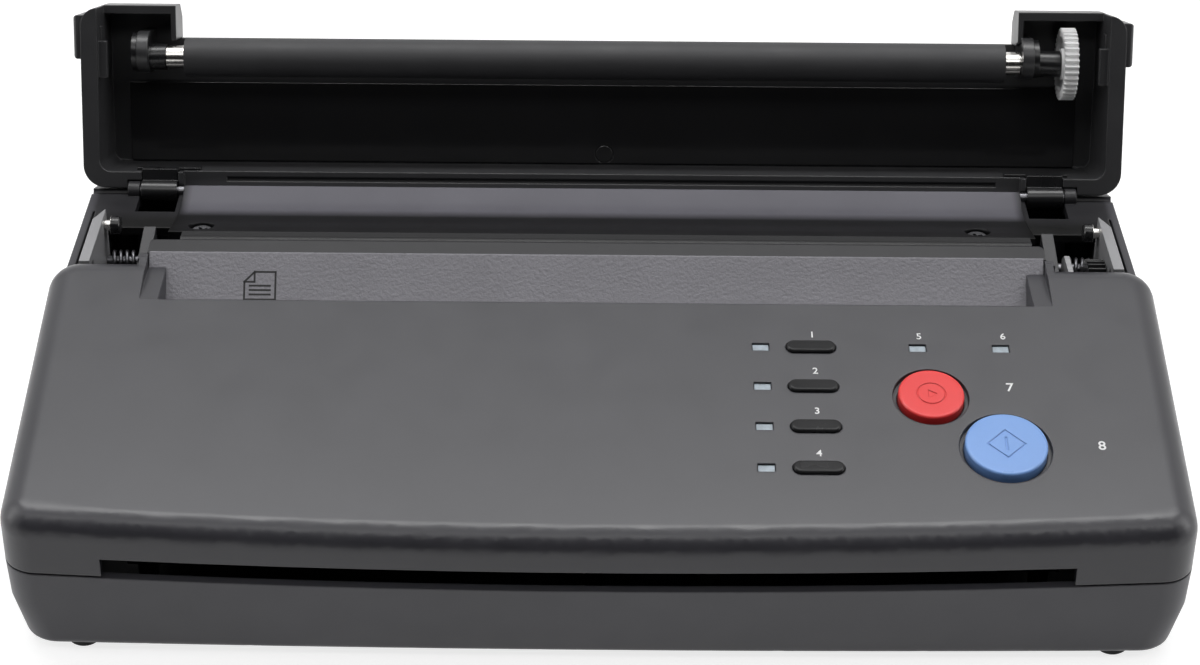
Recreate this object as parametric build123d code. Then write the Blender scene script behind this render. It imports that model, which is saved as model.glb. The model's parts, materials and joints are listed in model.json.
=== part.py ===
"""Thermal stencil copier: a desktop machine that copies a drawing onto stencil paper.

Millimetres, +Z up, front towards -Y, X to the right.  The shapes are drawn about the
middle of the case at table height and then moved forward by ORIGIN_Y, so that the
origin lies below the middle of the machine with its lid open.  The lid is drawn shut
and then swung open about its hinge, because the machine rests with the lid open.
"""
from build123d import *
import math
import os

# ---------------------------------------------------------------- overall case
ORIGIN_Y = 11.62               # middle of the depth with the lid open
CASE_HALF_WIDTH = 142.0        # half width at the parting line
CASE_FRONT = -81.0             # foremost point of the bowed front
CASE_REAR = 81.0
CASE_BOTTOM = 2.5              # underside of the case above the table
CASE_PARTING = 23.5            # rim of the lower case
FRONT_BOW = 3.5                # forward bow of the front over BOW_SPAN
BOW_SPAN = 115.0
WALL = 2.4
PART_GAP = 0.6                 # shadow gap between case mouldings
SEAM = 0.3                     # close gap between cover, lid and rear moulding
CORNER_RADIUS = 9.0
REAR_CORNER_RADIUS = 8.0
BELLY_HEIGHT = 14.0            # height at which the lower case starts to taper
BELLY_INSET = 0.5
BASE_INSET = 3.5               # side inset of the lower case at its underside
BASE_FRONT_INSET = 3.6
BASE_FRONT_BOW = 0.8
BASE_EDGE_RADIUS = 2.2

# ---------------------------------------------------------------- widths, outside to inside
WIDE = 2 * CASE_HALF_WIDTH             # beyond both sides, for cuts
LID_HALF_WIDTH = CASE_HALF_WIDTH + 1.0
REAR_HALF_WIDTH = CASE_HALF_WIDTH - 1.3
BAY_OUTER = REAR_HALF_WIDTH - 4.3      # outer edge of the openings beside the deck
LATCH_INNER = 3.7 - BAY_OUTER          # inner face of the left latch
GEAR_OUTER = BAY_OUTER - 4.0           # outer ends of the gear studs
PLATEN_GEAR_OUTER = GEAR_OUTER - 1.7   # outer face of the platen gear
GEAR_LEFT = GEAR_OUTER - 4.8           # inner face of the gear train
PLATE_LEFT = GEAR_LEFT - 5.0           # gear side plate
KNUCKLE_OUT = CASE_HALF_WIDTH - 15.1
KNUCKLE_IN = KNUCKLE_OUT - 9.8
DECK_HALF_WIDTH = KNUCKLE_IN - 2.1
PATH_OFFSET = -1.3                     # the paper path sits left of the middle
GUIDE_HALF_WIDTH = DECK_HALF_WIDTH - 4.1   # between the side guides of the ramp
ENTRY_HALF_WIDTH = GUIDE_HALF_WIDTH + 4.7  # notch of the front cover above the ramp
SLOT_LEFT = -GUIDE_HALF_WIDTH - 6.6
SLOT_RIGHT = GUIDE_HALF_WIDTH + 1.7
PLATEN_OFFSET = -2.35
PLATEN_HALF_LENGTH = GUIDE_HALF_WIDTH + 2.7
NOTCH_OFFSET = -1.8                    # notch in the lid above the platen
NOTCH_HALF_WIDTH = PLATEN_HALF_LENGTH + 3.2
BRACKET_LEFT = -GUIDE_HALF_WIDTH - 9.7
CHEEK_LEFT = -DECK_HALF_WIDTH - 8.4    # outer faces of the head frame
CHEEK_RIGHT = PLATE_LEFT - 1.0
HEAD_LEFT = 3.7 - DECK_HALF_WIDTH
HEAD_RIGHT = DECK_HALF_WIDTH - 1.4
HANGER_LEFT = -PLATEN_HALF_LENGTH - 15.4
HANGER_RIGHT = PLATEN_HALF_LENGTH + 2.3

# ---------------------------------------------------------------- front cover
COVER_REAR = 14.5              # rear edge of the front cover beside the ramp
COVER_REAR_TOP = 60.2          # height of the panel plane at that edge
PANEL_SLOPE = 13.0             # degrees, falling to the front
COVER_EDGE_RADIUS = 7.0
COVER_INNER = 2.5              # thickness of the front cover
SLOT_HEIGHT = 5.5              # document exit slot
ENTRY_FRONT = -3.7             # cover edge under which the document goes
GUIDE_TOP = 56.0               # level tops of the side guides
GUIDE_REAR = 12.4              # rear end of the side guides
GUIDE_CORNER = 1.2
GUIDE_THICKNESS = 2.2
TONGUE_REAR = 21.8
TONGUE_TOP = 58.7
TONGUE_THICKNESS = 3.2
TONGUE_CORNER = 1.4
WEB_END = 2.6                  # blocks that join the tongue to the panel
RIB_COUNT = 13
RIB_THICKNESS = 1.2

# ---------------------------------------------------------------- ramp
RAMP_TOP_Y = 14.8
RAMP_TOP_Z = 59.2
RAMP_SLOPE = 50.0              # degrees
RAMP_KNEE_Z = 47.6             # foot of the steep part
RAMP_LOW_Y = 1.4
RAMP_LOW_Z = 44.7
RAMP_END_Y = -1.7
RAMP_END_Z = 43.6
RAMP_THICKNESS = 2.0

# ---------------------------------------------------------------- rear cover
REAR_RIM = 48.7                # height of the side rims
DECK_FRONT_Y = 33.5
DECK_FRONT_Z = 54.3
DECK_RIDGE_Y = 64.2
DECK_RIDGE_Z = 51.3
DECK_TROUGH_Y = 54.0
DECK_TROUGH_Z = 49.5
SIDE_SLOT_Y = 54.0             # rear end of the slots along the side rims
BAY_REAR = 45.2                # rear edge of the openings beside the deck
SCREW_Y = 39.3
SCREW_OFFSET = -3.3
SCREW_HALF_PITCH = GUIDE_HALF_WIDTH - 7.2

# ---------------------------------------------------------------- lid and hinge
HINGE_Y = 65.0
HINGE_Z = 49.0
LID_LEAN = 21.5                # degrees past vertical when open
LID_HINGE_GAP = 0.9            # rear wall stands this far in front of the hinge axis
LID_REAR_WALL = 4.4
LID_SIDE_WALL = 4.5
LID_SKIN = 2.3
LID_TOP_REAR_Z = 76.0
LID_TOP_FRONT_Z = 72.8
LID_BEVEL = 3.6
LID_LIP_Z = 60.8               # lower edge of the front lip
LID_CORNER = 6.0
LID_EDGE_RADIUS = 3.5
LINER = 1.0                    # thickness of the sheet under the lid skin
LINER_INSET = 5.0
NOTCH_Y = 24.5                 # front edge of the lid top between the ears
EAR_WALL = 1.4
KNUCKLE_RADIUS = 2.9
PIN_RADIUS = 1.5
PIN_SEAT = 2.6                 # length of the hinge pin held in the deck
BOSS_RADIUS = 2.7
BOSS_LENGTH = 3.2
ARM_PLATE = 0.8                # plate of the hinge arm inside the lid
ARM_PLATE_HEIGHT = 3.5
ARM_PLATE_OUT = 1.8            # plate beyond the barrel, outwards and inwards
ARM_PLATE_IN = 5.8
RUNNING = 0.05                 # radial clearance of a turning fit
SLIDING = 0.3                  # clearance of a sliding fit
GROOVE_LEFT = 11.0 - DECK_HALF_WIDTH
GROOVE_RIGHT = DECK_HALF_WIDTH - 6.0
LEDGE_INNER = 0.2 - BAY_OUTER  # ledge in the lid that the latch holds down
LEDGE_TOP = 53.2
LEDGE_Y = (24.0, 34.0)
PAD_Y0 = 17.1                  # release pad on the lid's side
PAD_Y1 = 29.1
PAD_Z0 = 53.0
PAD_Z1 = 65.0
PAD_PROUD = 2.7
PAD_TRAVEL = 2.2
STEM_INSET = 3.1
STEM_HEIGHT = 4.0

# ---------------------------------------------------------------- platen
PLATEN_REACH = 36.0            # in front of the hinge axis, lid shut
PLATEN_RISE = 12.0             # above the hinge axis, lid shut
PLATEN_RADIUS = 5.4
SHAFT_RADIUS = 3.2
SHAFT_END_RADIUS = 2.6         # journals
BUSH_RADIUS = 4.65
BUSH_SHIFT = 1.3               # bushes stand off the axis, away from the hinge
FLANGE_RADIUS = 5.3
FLANGE_THICKNESS = 1.5
COLLAR_RADIUS = 3.6            # sleeves that space the bushes from the shaft and the gear
COLLAR_LENGTH = 4.6
HANGER_THICKNESS = 3.2
HANGER_RIM = 1.1

# ---------------------------------------------------------------- gears
MODULE = 25.4 / 48             # 48 diametral pitch
PLATEN_TEETH = 36
DRIVER_TEETH = 28
IDLER_TEETH = 42
ROLLER_TEETH = 16
PINION_TEETH = 12
MESH_GAP = 0.14                # added to each centre distance
PLATEN_GEAR_WIDTH = 3.8
TRAIN_WIDTH = 4.6
STUD_RADIUS = 1.5
PLATE_THICKNESS = 1.4
BEARING_RADIUS = 3.9
BEARING_FLANGE = 0.7
MOTOR_RADIUS = 11.8
MOTOR_LENGTH = 12.8
PINION_TURN = math.radians(-104)
ROLLER_RADIUS = 4.5
ROLLER_SHAFT = 2.5
ROLLER_Y = -9.6

# ---------------------------------------------------------------- thermal head
CHEEK_THICKNESS = 3.2
CHEEK_FRONT = 12.5
CHEEK_FRONT_TOP = 42.4
CHEEK_REAR = 44.6
CHEEK_REAR_TOP = 49.4
FRAME_BOTTOM = 28.0
FRAME_FRONT = 17.0
FRAME_REAR = 50.0
FRAME_SHEET = 1.6
HEAD_FRONT = 26.3
HEAD_PIVOT = (44.6, 41.4)
HEAD_PIN = 1.6
HEAD_FINS = 22
HEAD_SPRING_PITCH = 79.0

# ---------------------------------------------------------------- latches
LATCH_BEAD = 2.7
LATCH_WEB = 1.3
LATCH_TOP = 56.0
LATCH_NOSE_Z = 53.6
LATCH_FRONT_Y = 15.0
LATCH_TIP_Y = 42.0
LATCH_BEVEL = 5.2
LATCH_ROD = (38.0, 42.4)
LATCH_ROD_RADIUS = 1.5
LATCH_PIN = (38.9, 53.0)
LATCH_PIN_RADIUS = 1.45
LATCH_KNOB_RADIUS = 2.45
LATCH_PIN_LENGTH = 1.8
LATCH_KNOB_LENGTH = 2.4

# ---------------------------------------------------------------- document guide and scanner
PATH_REAR_Y = -16.8
PATH_REAR_Z = 39.6
PATH_FRONT_Y = -71.5
PATH_FRONT_Z = 25.2
PATH_THICKNESS = 1.8
SCAN_TILT = 11.5
SCAN_DEPTH = 10.0
SCAN_LENGTH = 13.0

# ---------------------------------------------------------------- controls
CAP_GAP = 0.15                 # around a cap in its hole
CAP_FLANGE = 0.45
BEZEL_DEPTH = 1.5
OVAL_X = 52.4
OVAL_LENGTH = 12.4
OVAL_WIDTH = 4.1
OVAL_PROUD = 0.8
LED_X = 39.9
LED_LENGTH = 4.3
LED_WIDTH = 2.6
STOP_X = 81.0
STOP_Y = -34.8
STOP_RADIUS = 8.1
STOP_BEZEL = 9.35
STOP_PROUD = 1.2
COPY_X = 97.7
COPY_Y = -51.2
COPY_RADIUS = 9.95
COPY_BEZEL = 11.2
COPY_PROUD = 1.6
FIRST_ROW_Y = -18.5
ROW_PITCH = 13.15
ROWS = 4
BOARD_DROP = 7.0               # top of the panel board below the panel plane
BOARD_THICKNESS = 1.6
FLOOR = CASE_BOTTOM + WALL

# ---------------------------------------------------------------- fixings
CASE_POST = 4.0
CASE_SCREW = 1.5
CASE_SCREW_HEAD = 2.9
BOARD_POST = 3.0
BOARD_SCREW = 1.3
BOARD_SCREW_HEAD = 2.4
HEAD_HEIGHT = 1.5
FRAME_POST = 4.0
FOOT_RADIUS = 4.0
FOOT_SEAT = 1.2
DECK_SCREW = 1.5
EDGE_POST = CASE_HALF_WIDTH - 11.0
FRONT_POST = CASE_HALF_WIDTH - 14.0
COVER_POSTS = [(-FRONT_POST, -58.0), (FRONT_POST, -58.0), (-EDGE_POST, 0.0),
               (EDGE_POST + 2.0, -32.0)]
REAR_POSTS = [(1.0 - EDGE_POST, 51.0), (EDGE_POST - 1.0, 51.0), (-EDGE_POST, 70.0), (0.0, 71.0),
              (EDGE_POST, 70.0)]
CASE_SCREWS = COVER_POSTS + REAR_POSTS
FRAME_POSTS = [(x, y) for x in (CHEEK_LEFT + 11.4, CHEEK_RIGHT - 12.6) for y in (22.0, 45.0)]
DECK_SCREWS = [SCREW_OFFSET - SCREW_HALF_PITCH, SCREW_OFFSET + SCREW_HALF_PITCH]
FOOT_X = CASE_HALF_WIDTH - 17.4
FEET = [(x, y) for x in (-FOOT_X, FOOT_X) for y in (-70.0, 66.0)]

# ---------------------------------------------------------------- electronics
BOARD_RIGHT = CHEEK_RIGHT - 25.6
BOARD_LEFT = CHEEK_LEFT + 19.4
MAIN_BOARD = (BOARD_RIGHT - 97.0, BOARD_RIGHT, 15.0, 62.0, 9.4)      # x0, x1, y0, y1, underside
POWER_BOARD = (BOARD_LEFT, BOARD_LEFT + 60.0, 12.0, 55.0, 9.4)
VENT_XS = [BOARD_LEFT + 12 + 6 * index for index in range(7)]
VENT_XS += [BOARD_RIGHT - 84 + 6 * index for index in range(12)]
PANEL_LEFT = 29.0 - CASE_HALF_WIDTH
POWER_PANEL = (PANEL_LEFT, PANEL_LEFT + 68.0, 13.0, 38.0)        # x0, x1, z0, z1 in the rear wall
INLET_X = PANEL_LEFT + 18.0
SWITCH_X = PANEL_LEFT + 51.0
POWER_Z = 25.5
SWITCH_Y = 77.5
TRUNNION = 1.25
PANEL_BOARD_X = 72.5
PANEL_BOARD_Y = -42.3
PANEL_BOARD_SIZE = (81.0, 51.4)
PILLARS = [(36.0, -24.9), (36.0, -64.0), (109.0, -24.9), (109.0, -64.0)]

ROUND_BUTTONS = [(STOP_X, STOP_Y, STOP_BEZEL, STOP_RADIUS),
                 (COPY_X, COPY_Y, COPY_BEZEL, COPY_RADIUS)]
ROW_YS = [FIRST_ROW_Y - ROW_PITCH * row for row in range(ROWS)]
LEDS = [(LED_X, y) for y in ROW_YS] + [(79.0, FIRST_ROW_Y), (99.7, FIRST_ROW_Y)]


# ---------------------------------------------------------------- helpers
def block(x0, x1, y0, y1, z0, z1):
    """A plain block between two corners."""
    size = (x1 - x0, y1 - y0, z1 - z0)
    middle = ((x0 + x1) / 2, (y0 + y1) / 2, (z0 + z1) / 2)
    return Pos(*middle) * Box(*size)


def prism(points, x0, x1):
    """A side profile, given as (y, z) points, carried from x0 to x1."""
    face = make_face(Polyline(*points, close=True))
    return extrude(Plane.YZ.offset(x0) * face, x1 - x0)


def rod(radius, x0, x1, y, z):
    """A round bar along X."""
    return extrude(Plane.YZ.offset(x0) * Pos(y, z) * Circle(radius), x1 - x0)


def post(radius, x, y, z0, z1):
    """A round bar along Z."""
    return extrude(Plane.XY.offset(z0) * Pos(x, y) * Circle(radius), z1 - z0)


def tube(outer, inner, x0, x1, y, z):
    """A round sleeve along X."""
    return rod(outer, x0, x1, y, z) - rod(inner, x0 - 1, x1 + 1, y, z)


def both(shape):
    """The shape and its mirror image in the middle plane."""
    return [shape, mirror(shape, Plane.YZ)]


def mirrored(shape):
    """Mirror image in the middle plane."""
    return mirror(shape, Plane.YZ)


def panel_z(y):
    """Height of the panel plane at a depth."""
    return COVER_REAR_TOP - (COVER_REAR - y) * math.tan(math.radians(PANEL_SLOPE))


def panel_plane(x, y, drop=0.0):
    """Plane on the sloping panel, its normal out of the panel, lowered by drop."""
    slope = math.radians(PANEL_SLOPE)
    normal = (0, -math.sin(slope), math.cos(slope))
    origin = (x, y - drop * normal[1], panel_z(y) - drop * normal[2])
    return Plane(origin=origin, x_dir=(1, 0, 0), z_dir=normal)


def outline(half_width, front, bow, rear, front_radius, rear_radius):
    """Plan outline of the case: a bowed front, straight sides and rear, round corners."""
    corner_y = front + bow * (half_width / BOW_SPAN) ** 2
    if bow:
        nose = ThreePointArc((-half_width, corner_y), (0, front), (half_width, corner_y))
    else:
        nose = Line((-half_width, corner_y), (half_width, corner_y))
    sides = [
        nose,
        Line((half_width, corner_y), (half_width, rear)),
        Line((half_width, rear), (-half_width, rear)),
        Line((-half_width, rear), (-half_width, corner_y)),
    ]
    face = make_face(sides)
    by_depth = face.vertices().sort_by(Axis.Y)
    face = fillet(by_depth[:2], front_radius)
    if rear_radius:
        face = fillet(face.vertices().group_by(Axis.Y)[-1], rear_radius)
    return face


def helix_spring(radius, wire, pitch, length):
    """A round-wire coil spring along +Z from the origin."""
    path = Helix(pitch=pitch, height=length, radius=radius)
    start = Plane(origin=path @ 0, z_dir=path % 0)
    return sweep(start * Circle(wire), path)


def pose_lid(shape):
    """Swings a shape drawn with the lid shut to the open rest position."""
    axis = Axis((0, HINGE_Y, HINGE_Z), (-1, 0, 0))
    return shape.rotate(axis, 90 + LID_LEAN)


# ---------------------------------------------------------------- gears
def pitch_radius(teeth):
    """Pitch radius of a gear."""
    return MODULE * teeth / 2


def gear_distance(teeth_a, teeth_b):
    """Centre distance of a pair in mesh."""
    return pitch_radius(teeth_a) + pitch_radius(teeth_b) + MESH_GAP


def mesh_phase(phase_a, teeth_a, teeth_b, centre_a, centre_b):
    """Angle of a tooth of gear b, in degrees, so that it meshes with gear a."""
    angle = math.degrees(math.atan2(centre_b[1] - centre_a[1], centre_b[0] - centre_a[0]))
    offset = (angle - phase_a) / (360 / teeth_a)
    return angle + 180 - (360 / teeth_b) * (0.5 - offset)


def meet(centre_a, reach_a, centre_b, reach_b):
    """Lower of the two points at reach_a from one centre and reach_b from the other."""
    dy = centre_b[0] - centre_a[0]
    dz = centre_b[1] - centre_a[1]
    gap = math.hypot(dy, dz)
    along = (gap ** 2 + reach_a ** 2 - reach_b ** 2) / (2 * gap)
    side = math.sqrt(reach_a ** 2 - along ** 2)
    first = (centre_a[0] + along * dy / gap + side * dz / gap,
             centre_a[1] + along * dz / gap - side * dy / gap)
    second = (centre_a[0] + along * dy / gap - side * dz / gap,
              centre_a[1] + along * dz / gap + side * dy / gap)
    return min(first, second, key=lambda point: point[1])


def gear(teeth, x0, x1, centre, phase, bore):
    """A spur gear on an axis along X, with straight-sided teeth and a bore."""
    radius = pitch_radius(teeth)
    pitch = 2 * math.pi / teeth
    flank = [(-0.31, -1.2), (-0.21, 0.0), (-0.10, 0.9), (0.10, 0.9), (0.21, 0.0), (0.31, -1.2)]
    points = []
    for tooth in range(teeth):
        middle = math.radians(phase) + tooth * pitch
        for turn, rise in flank:
            reach = radius + rise * MODULE
            angle = middle + turn * pitch
            points.append((centre[0] + reach * math.cos(angle),
                           centre[1] + reach * math.sin(angle)))
    return prism(points, x0, x1) - rod(bore, x0 - 1, x1 + 1, *centre)


PLATEN_CENTRE = (HINGE_Y - PLATEN_REACH, HINGE_Z + PLATEN_RISE)
HEAD_TOP = PLATEN_CENTRE[1] - PLATEN_RADIUS - 0.15

# The driver lies where the shutting lid carries the platen gear straight towards it.
SWING = math.atan2(-PLATEN_REACH, -PLATEN_RISE)
DRIVER_REACH = gear_distance(PLATEN_TEETH, DRIVER_TEETH)
DRIVER_CENTRE = (PLATEN_CENTRE[0] + DRIVER_REACH * math.cos(SWING),
                 PLATEN_CENTRE[1] + DRIVER_REACH * math.sin(SWING))

# ---------------------------------------------------------------- document path
ROLLER_CENTRE = (ROLLER_Y, panel_z(ROLLER_Y) - COVER_INNER - ROLLER_RADIUS - 1.6)
IDLER_CENTRE = meet(ROLLER_CENTRE, gear_distance(ROLLER_TEETH, IDLER_TEETH),
                    DRIVER_CENTRE, gear_distance(DRIVER_TEETH, IDLER_TEETH))
PINION_REACH = gear_distance(IDLER_TEETH, PINION_TEETH)
PINION_CENTRE = (IDLER_CENTRE[0] + PINION_REACH * math.cos(PINION_TURN),
                 IDLER_CENTRE[1] + PINION_REACH * math.sin(PINION_TURN))


# ---------------------------------------------------------------- case mouldings
def lower_case():
    """Tapered tray that carries everything, with bosses and an opening at the rear."""
    def section(z, inset, front_inset, bow, wall):
        shape = outline(CASE_HALF_WIDTH - inset - wall, CASE_FRONT + front_inset + wall, bow,
                        CASE_REAR - inset - wall, CORNER_RADIUS - wall, REAR_CORNER_RADIUS - wall)
        return Pos(0, 0, z) * shape

    def body(bottom, top, wall):
        foot = section(bottom, BASE_INSET, BASE_FRONT_INSET, BASE_FRONT_BOW, wall)
        belly = section(BELLY_HEIGHT, BELLY_INSET, BELLY_INSET, FRONT_BOW - BELLY_INSET, wall)
        rim = section(top, 0, 0, FRONT_BOW, wall)
        return loft(sections=[foot, belly, rim], ruled=True)

    outer = body(CASE_BOTTOM, CASE_PARTING, 0)
    outer = fillet(outer.edges().group_by(Axis.Z)[0], BASE_EDGE_RADIUS)
    case = outer - body(FLOOR, CASE_PARTING + 0.01, WALL)
    case -= power_panel_block(SEAM / 2, CASE_PARTING + 1)
    for x, y in CASE_SCREWS:
        case += post(CASE_POST, x, y, FLOOR - 0.5, CASE_PARTING - 3)
        case -= post(CASE_SCREW + 0.1, x, y, CASE_BOTTOM - 1, CASE_PARTING)
        case -= post(CASE_SCREW_HEAD + 0.3, x, y, CASE_BOTTOM - 1, FLOOR + 0.4)
    for x, y in FRAME_POSTS:
        case += post(FRAME_POST, x, y, FLOOR - 0.5, FRAME_BOTTOM)
        case -= post(BOARD_SCREW, x, y, FRAME_BOTTOM - 6, FRAME_BOTTOM + 1)
    for board in (MAIN_BOARD, POWER_BOARD):
        for x, y in board_corners(board):
            case += post(BOARD_POST, x, y, FLOOR - 0.5, board[4])
            case -= post(BOARD_SCREW, x, y, FLOOR + 0.5, board[4] + 1)
    for x, y in FEET:
        case -= post(FOOT_RADIUS + 0.1, x, y, CASE_BOTTOM - 1, CASE_BOTTOM + FOOT_SEAT)
    for rest in scanner_rests():
        case += rest
    for x in VENT_XS:
        case -= block(x - 1, x + 1, 20, 50, CASE_BOTTOM - 1, FLOOR + 1)
    return case


def power_panel_block(gap, top=None):
    """Space that the power panel takes in the rear wall."""
    x0, x1, z0, z1 = POWER_PANEL
    return block(x0 - gap, x1 + gap, CASE_REAR - 8, CASE_REAR + 3, z0 - gap,
                 z1 + gap if top is None else top)


def cover_envelope(inset, wall_rear):
    """Outside of the front cover, or its inside when inset by the wall."""
    plan = outline(CASE_HALF_WIDTH - inset, CASE_FRONT + inset, FRONT_BOW, COVER_REAR - wall_rear,
                   CORNER_RADIUS - inset, REAR_CORNER_RADIUS - inset)
    body = extrude(Pos(0, 0, CASE_PARTING + PART_GAP - inset) * plan, 50)
    front = CASE_FRONT - 5
    rear = TONGUE_REAR + 5
    roof = prism([(front, panel_z(front) - inset), (rear, panel_z(rear) - inset),
                  (rear, 120), (front, 120)], -WIDE, WIDE)
    return body - roof


def rounded_envelope(inset, wall_rear, radius):
    """Front cover envelope with its top edge rounded at the front and the sides."""
    body = cover_envelope(inset, wall_rear)
    top = body.faces().sort_by(Axis.Z)[-1]
    rear = top.edges().filter_by(Axis.X).sort_by(Axis.Y)[-1]
    rear_arcs = [edge for edge in top.edges() if edge.center().Y > COVER_REAR - 9
                 and edge.geom_type != GeomType.LINE]
    chain = [edge for edge in top.edges() if edge != rear and edge not in rear_arcs]
    return fillet(chain, radius)


def front_cover():
    """Sloping control panel with the ramp opening, the exit slot and the button holes."""
    cover = rounded_envelope(0, 0, COVER_EDGE_RADIUS)
    cover -= rounded_envelope(COVER_INNER, COVER_INNER, COVER_EDGE_RADIUS - COVER_INNER)
    left = PATH_OFFSET - ENTRY_HALF_WIDTH
    right = PATH_OFFSET + ENTRY_HALF_WIDTH
    cover -= block(-BAY_OUTER, BAY_OUTER, COVER_REAR - COVER_INNER - 1, COVER_REAR + 1, CASE_PARTING,
                   panel_z(COVER_REAR - COVER_INNER) - COVER_INNER - 0.4)
    cover -= block(left, right, ENTRY_FRONT, COVER_REAR + 1, 20, 90)
    cover += tongue(left, right)
    guide = side_guide(left)
    cover += [guide, Pos(2 * PATH_OFFSET, 0, 0) * mirrored(guide)]
    cover -= block(SLOT_LEFT, SLOT_RIGHT, CASE_FRONT - 5, CASE_FRONT + 14, 0, CASE_PARTING + SLOT_HEIGHT)
    for x, y, bezel, radius in ROUND_BUTTONS:
        place = panel_plane(x, y, 30)
        cover -= extrude(place * Circle(radius + CAP_GAP), 40)
        place = panel_plane(x, y, BEZEL_DEPTH)
        cover -= extrude(place * Circle(bezel), 20)
    for y in ROW_YS:
        hole = SlotOverall(OVAL_LENGTH + 2 * CAP_GAP, OVAL_WIDTH + 2 * CAP_GAP)
        cover -= extrude(panel_plane(OVAL_X, y, 20) * hole, 40)
    for x, y in LEDS:
        cover -= extrude(panel_plane(x, y, 20) * Rectangle(LED_LENGTH, LED_WIDTH), 40)
    for x, y in PILLARS:
        base = panel_plane(x, y, BOARD_DROP)
        cover += extrude(base * (Circle(2.4) - Circle(BOARD_SCREW)), BOARD_DROP - COVER_INNER + 0.3)
    for x, y in COVER_POSTS:
        pin = post(CASE_POST - 0.5, x, y, CASE_PARTING - 2.7, panel_z(y) - 1)
        cover += pin - post(CASE_SCREW + 0.02, x, y, CASE_PARTING - 4, CASE_PARTING + 8)
    return cover + exit_ribs()


def tongue(left, right):
    """Strip behind the ramp with the web and the blocks that join it to the panel."""
    low = TONGUE_TOP - TONGUE_THICKNESS
    rear = RAMP_TOP_Y + WALL
    web_low = low - 6
    strip = block(left - 0.6, right + 0.6, RAMP_TOP_Y + 0.1, TONGUE_REAR, low, TONGUE_TOP)
    strip = fillet(strip.edges().filter_by(Axis.Z).group_by(Axis.Y)[-1], TONGUE_CORNER)
    strip += block(left - WEB_END, right + WEB_END, RAMP_TOP_Y + 0.1, rear, web_low, low + 0.1)
    front = COVER_REAR - COVER_INNER
    for x0, x1 in ((left - WEB_END, left - 0.1), (right + 0.1, right + WEB_END)):
        strip += block(x0, x1, front, rear, web_low, low)
        strip += block(x0, x1, front, COVER_REAR, web_low, panel_z(front) - 1)
    return strip


def side_guide(left):
    """Left side guide of the ramp: a level top, an inner wall and a wall up to the panel."""
    inner = left + ENTRY_HALF_WIDTH - GUIDE_HALF_WIDTH
    front = ENTRY_FRONT - 1
    above = prism(ramp_line(-0.1) + [(front, RAMP_END_Z), (front, 90), (RAMP_TOP_Y, 90)], left - 3, inner)
    level = block(left - 0.1, inner, ENTRY_FRONT, GUIDE_REAR, 40, GUIDE_TOP)
    corner = level.edges().filter_by(Axis.Z).group_by(Axis.Y)[-1].sort_by(Axis.X)[-1]
    level = fillet(corner, GUIDE_CORNER)
    level -= block(left - 1, inner - GUIDE_THICKNESS, ENTRY_FRONT + 1, GUIDE_REAR - 4, 30, GUIDE_TOP - 2)
    roof = [(y, panel_z(y) - 0.6) for y in (ENTRY_FRONT, GUIDE_REAR)]
    wall = prism([(ENTRY_FRONT, 40), *roof, (GUIDE_REAR, 40)], left - 2, left)
    return (level + wall) & above


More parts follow.
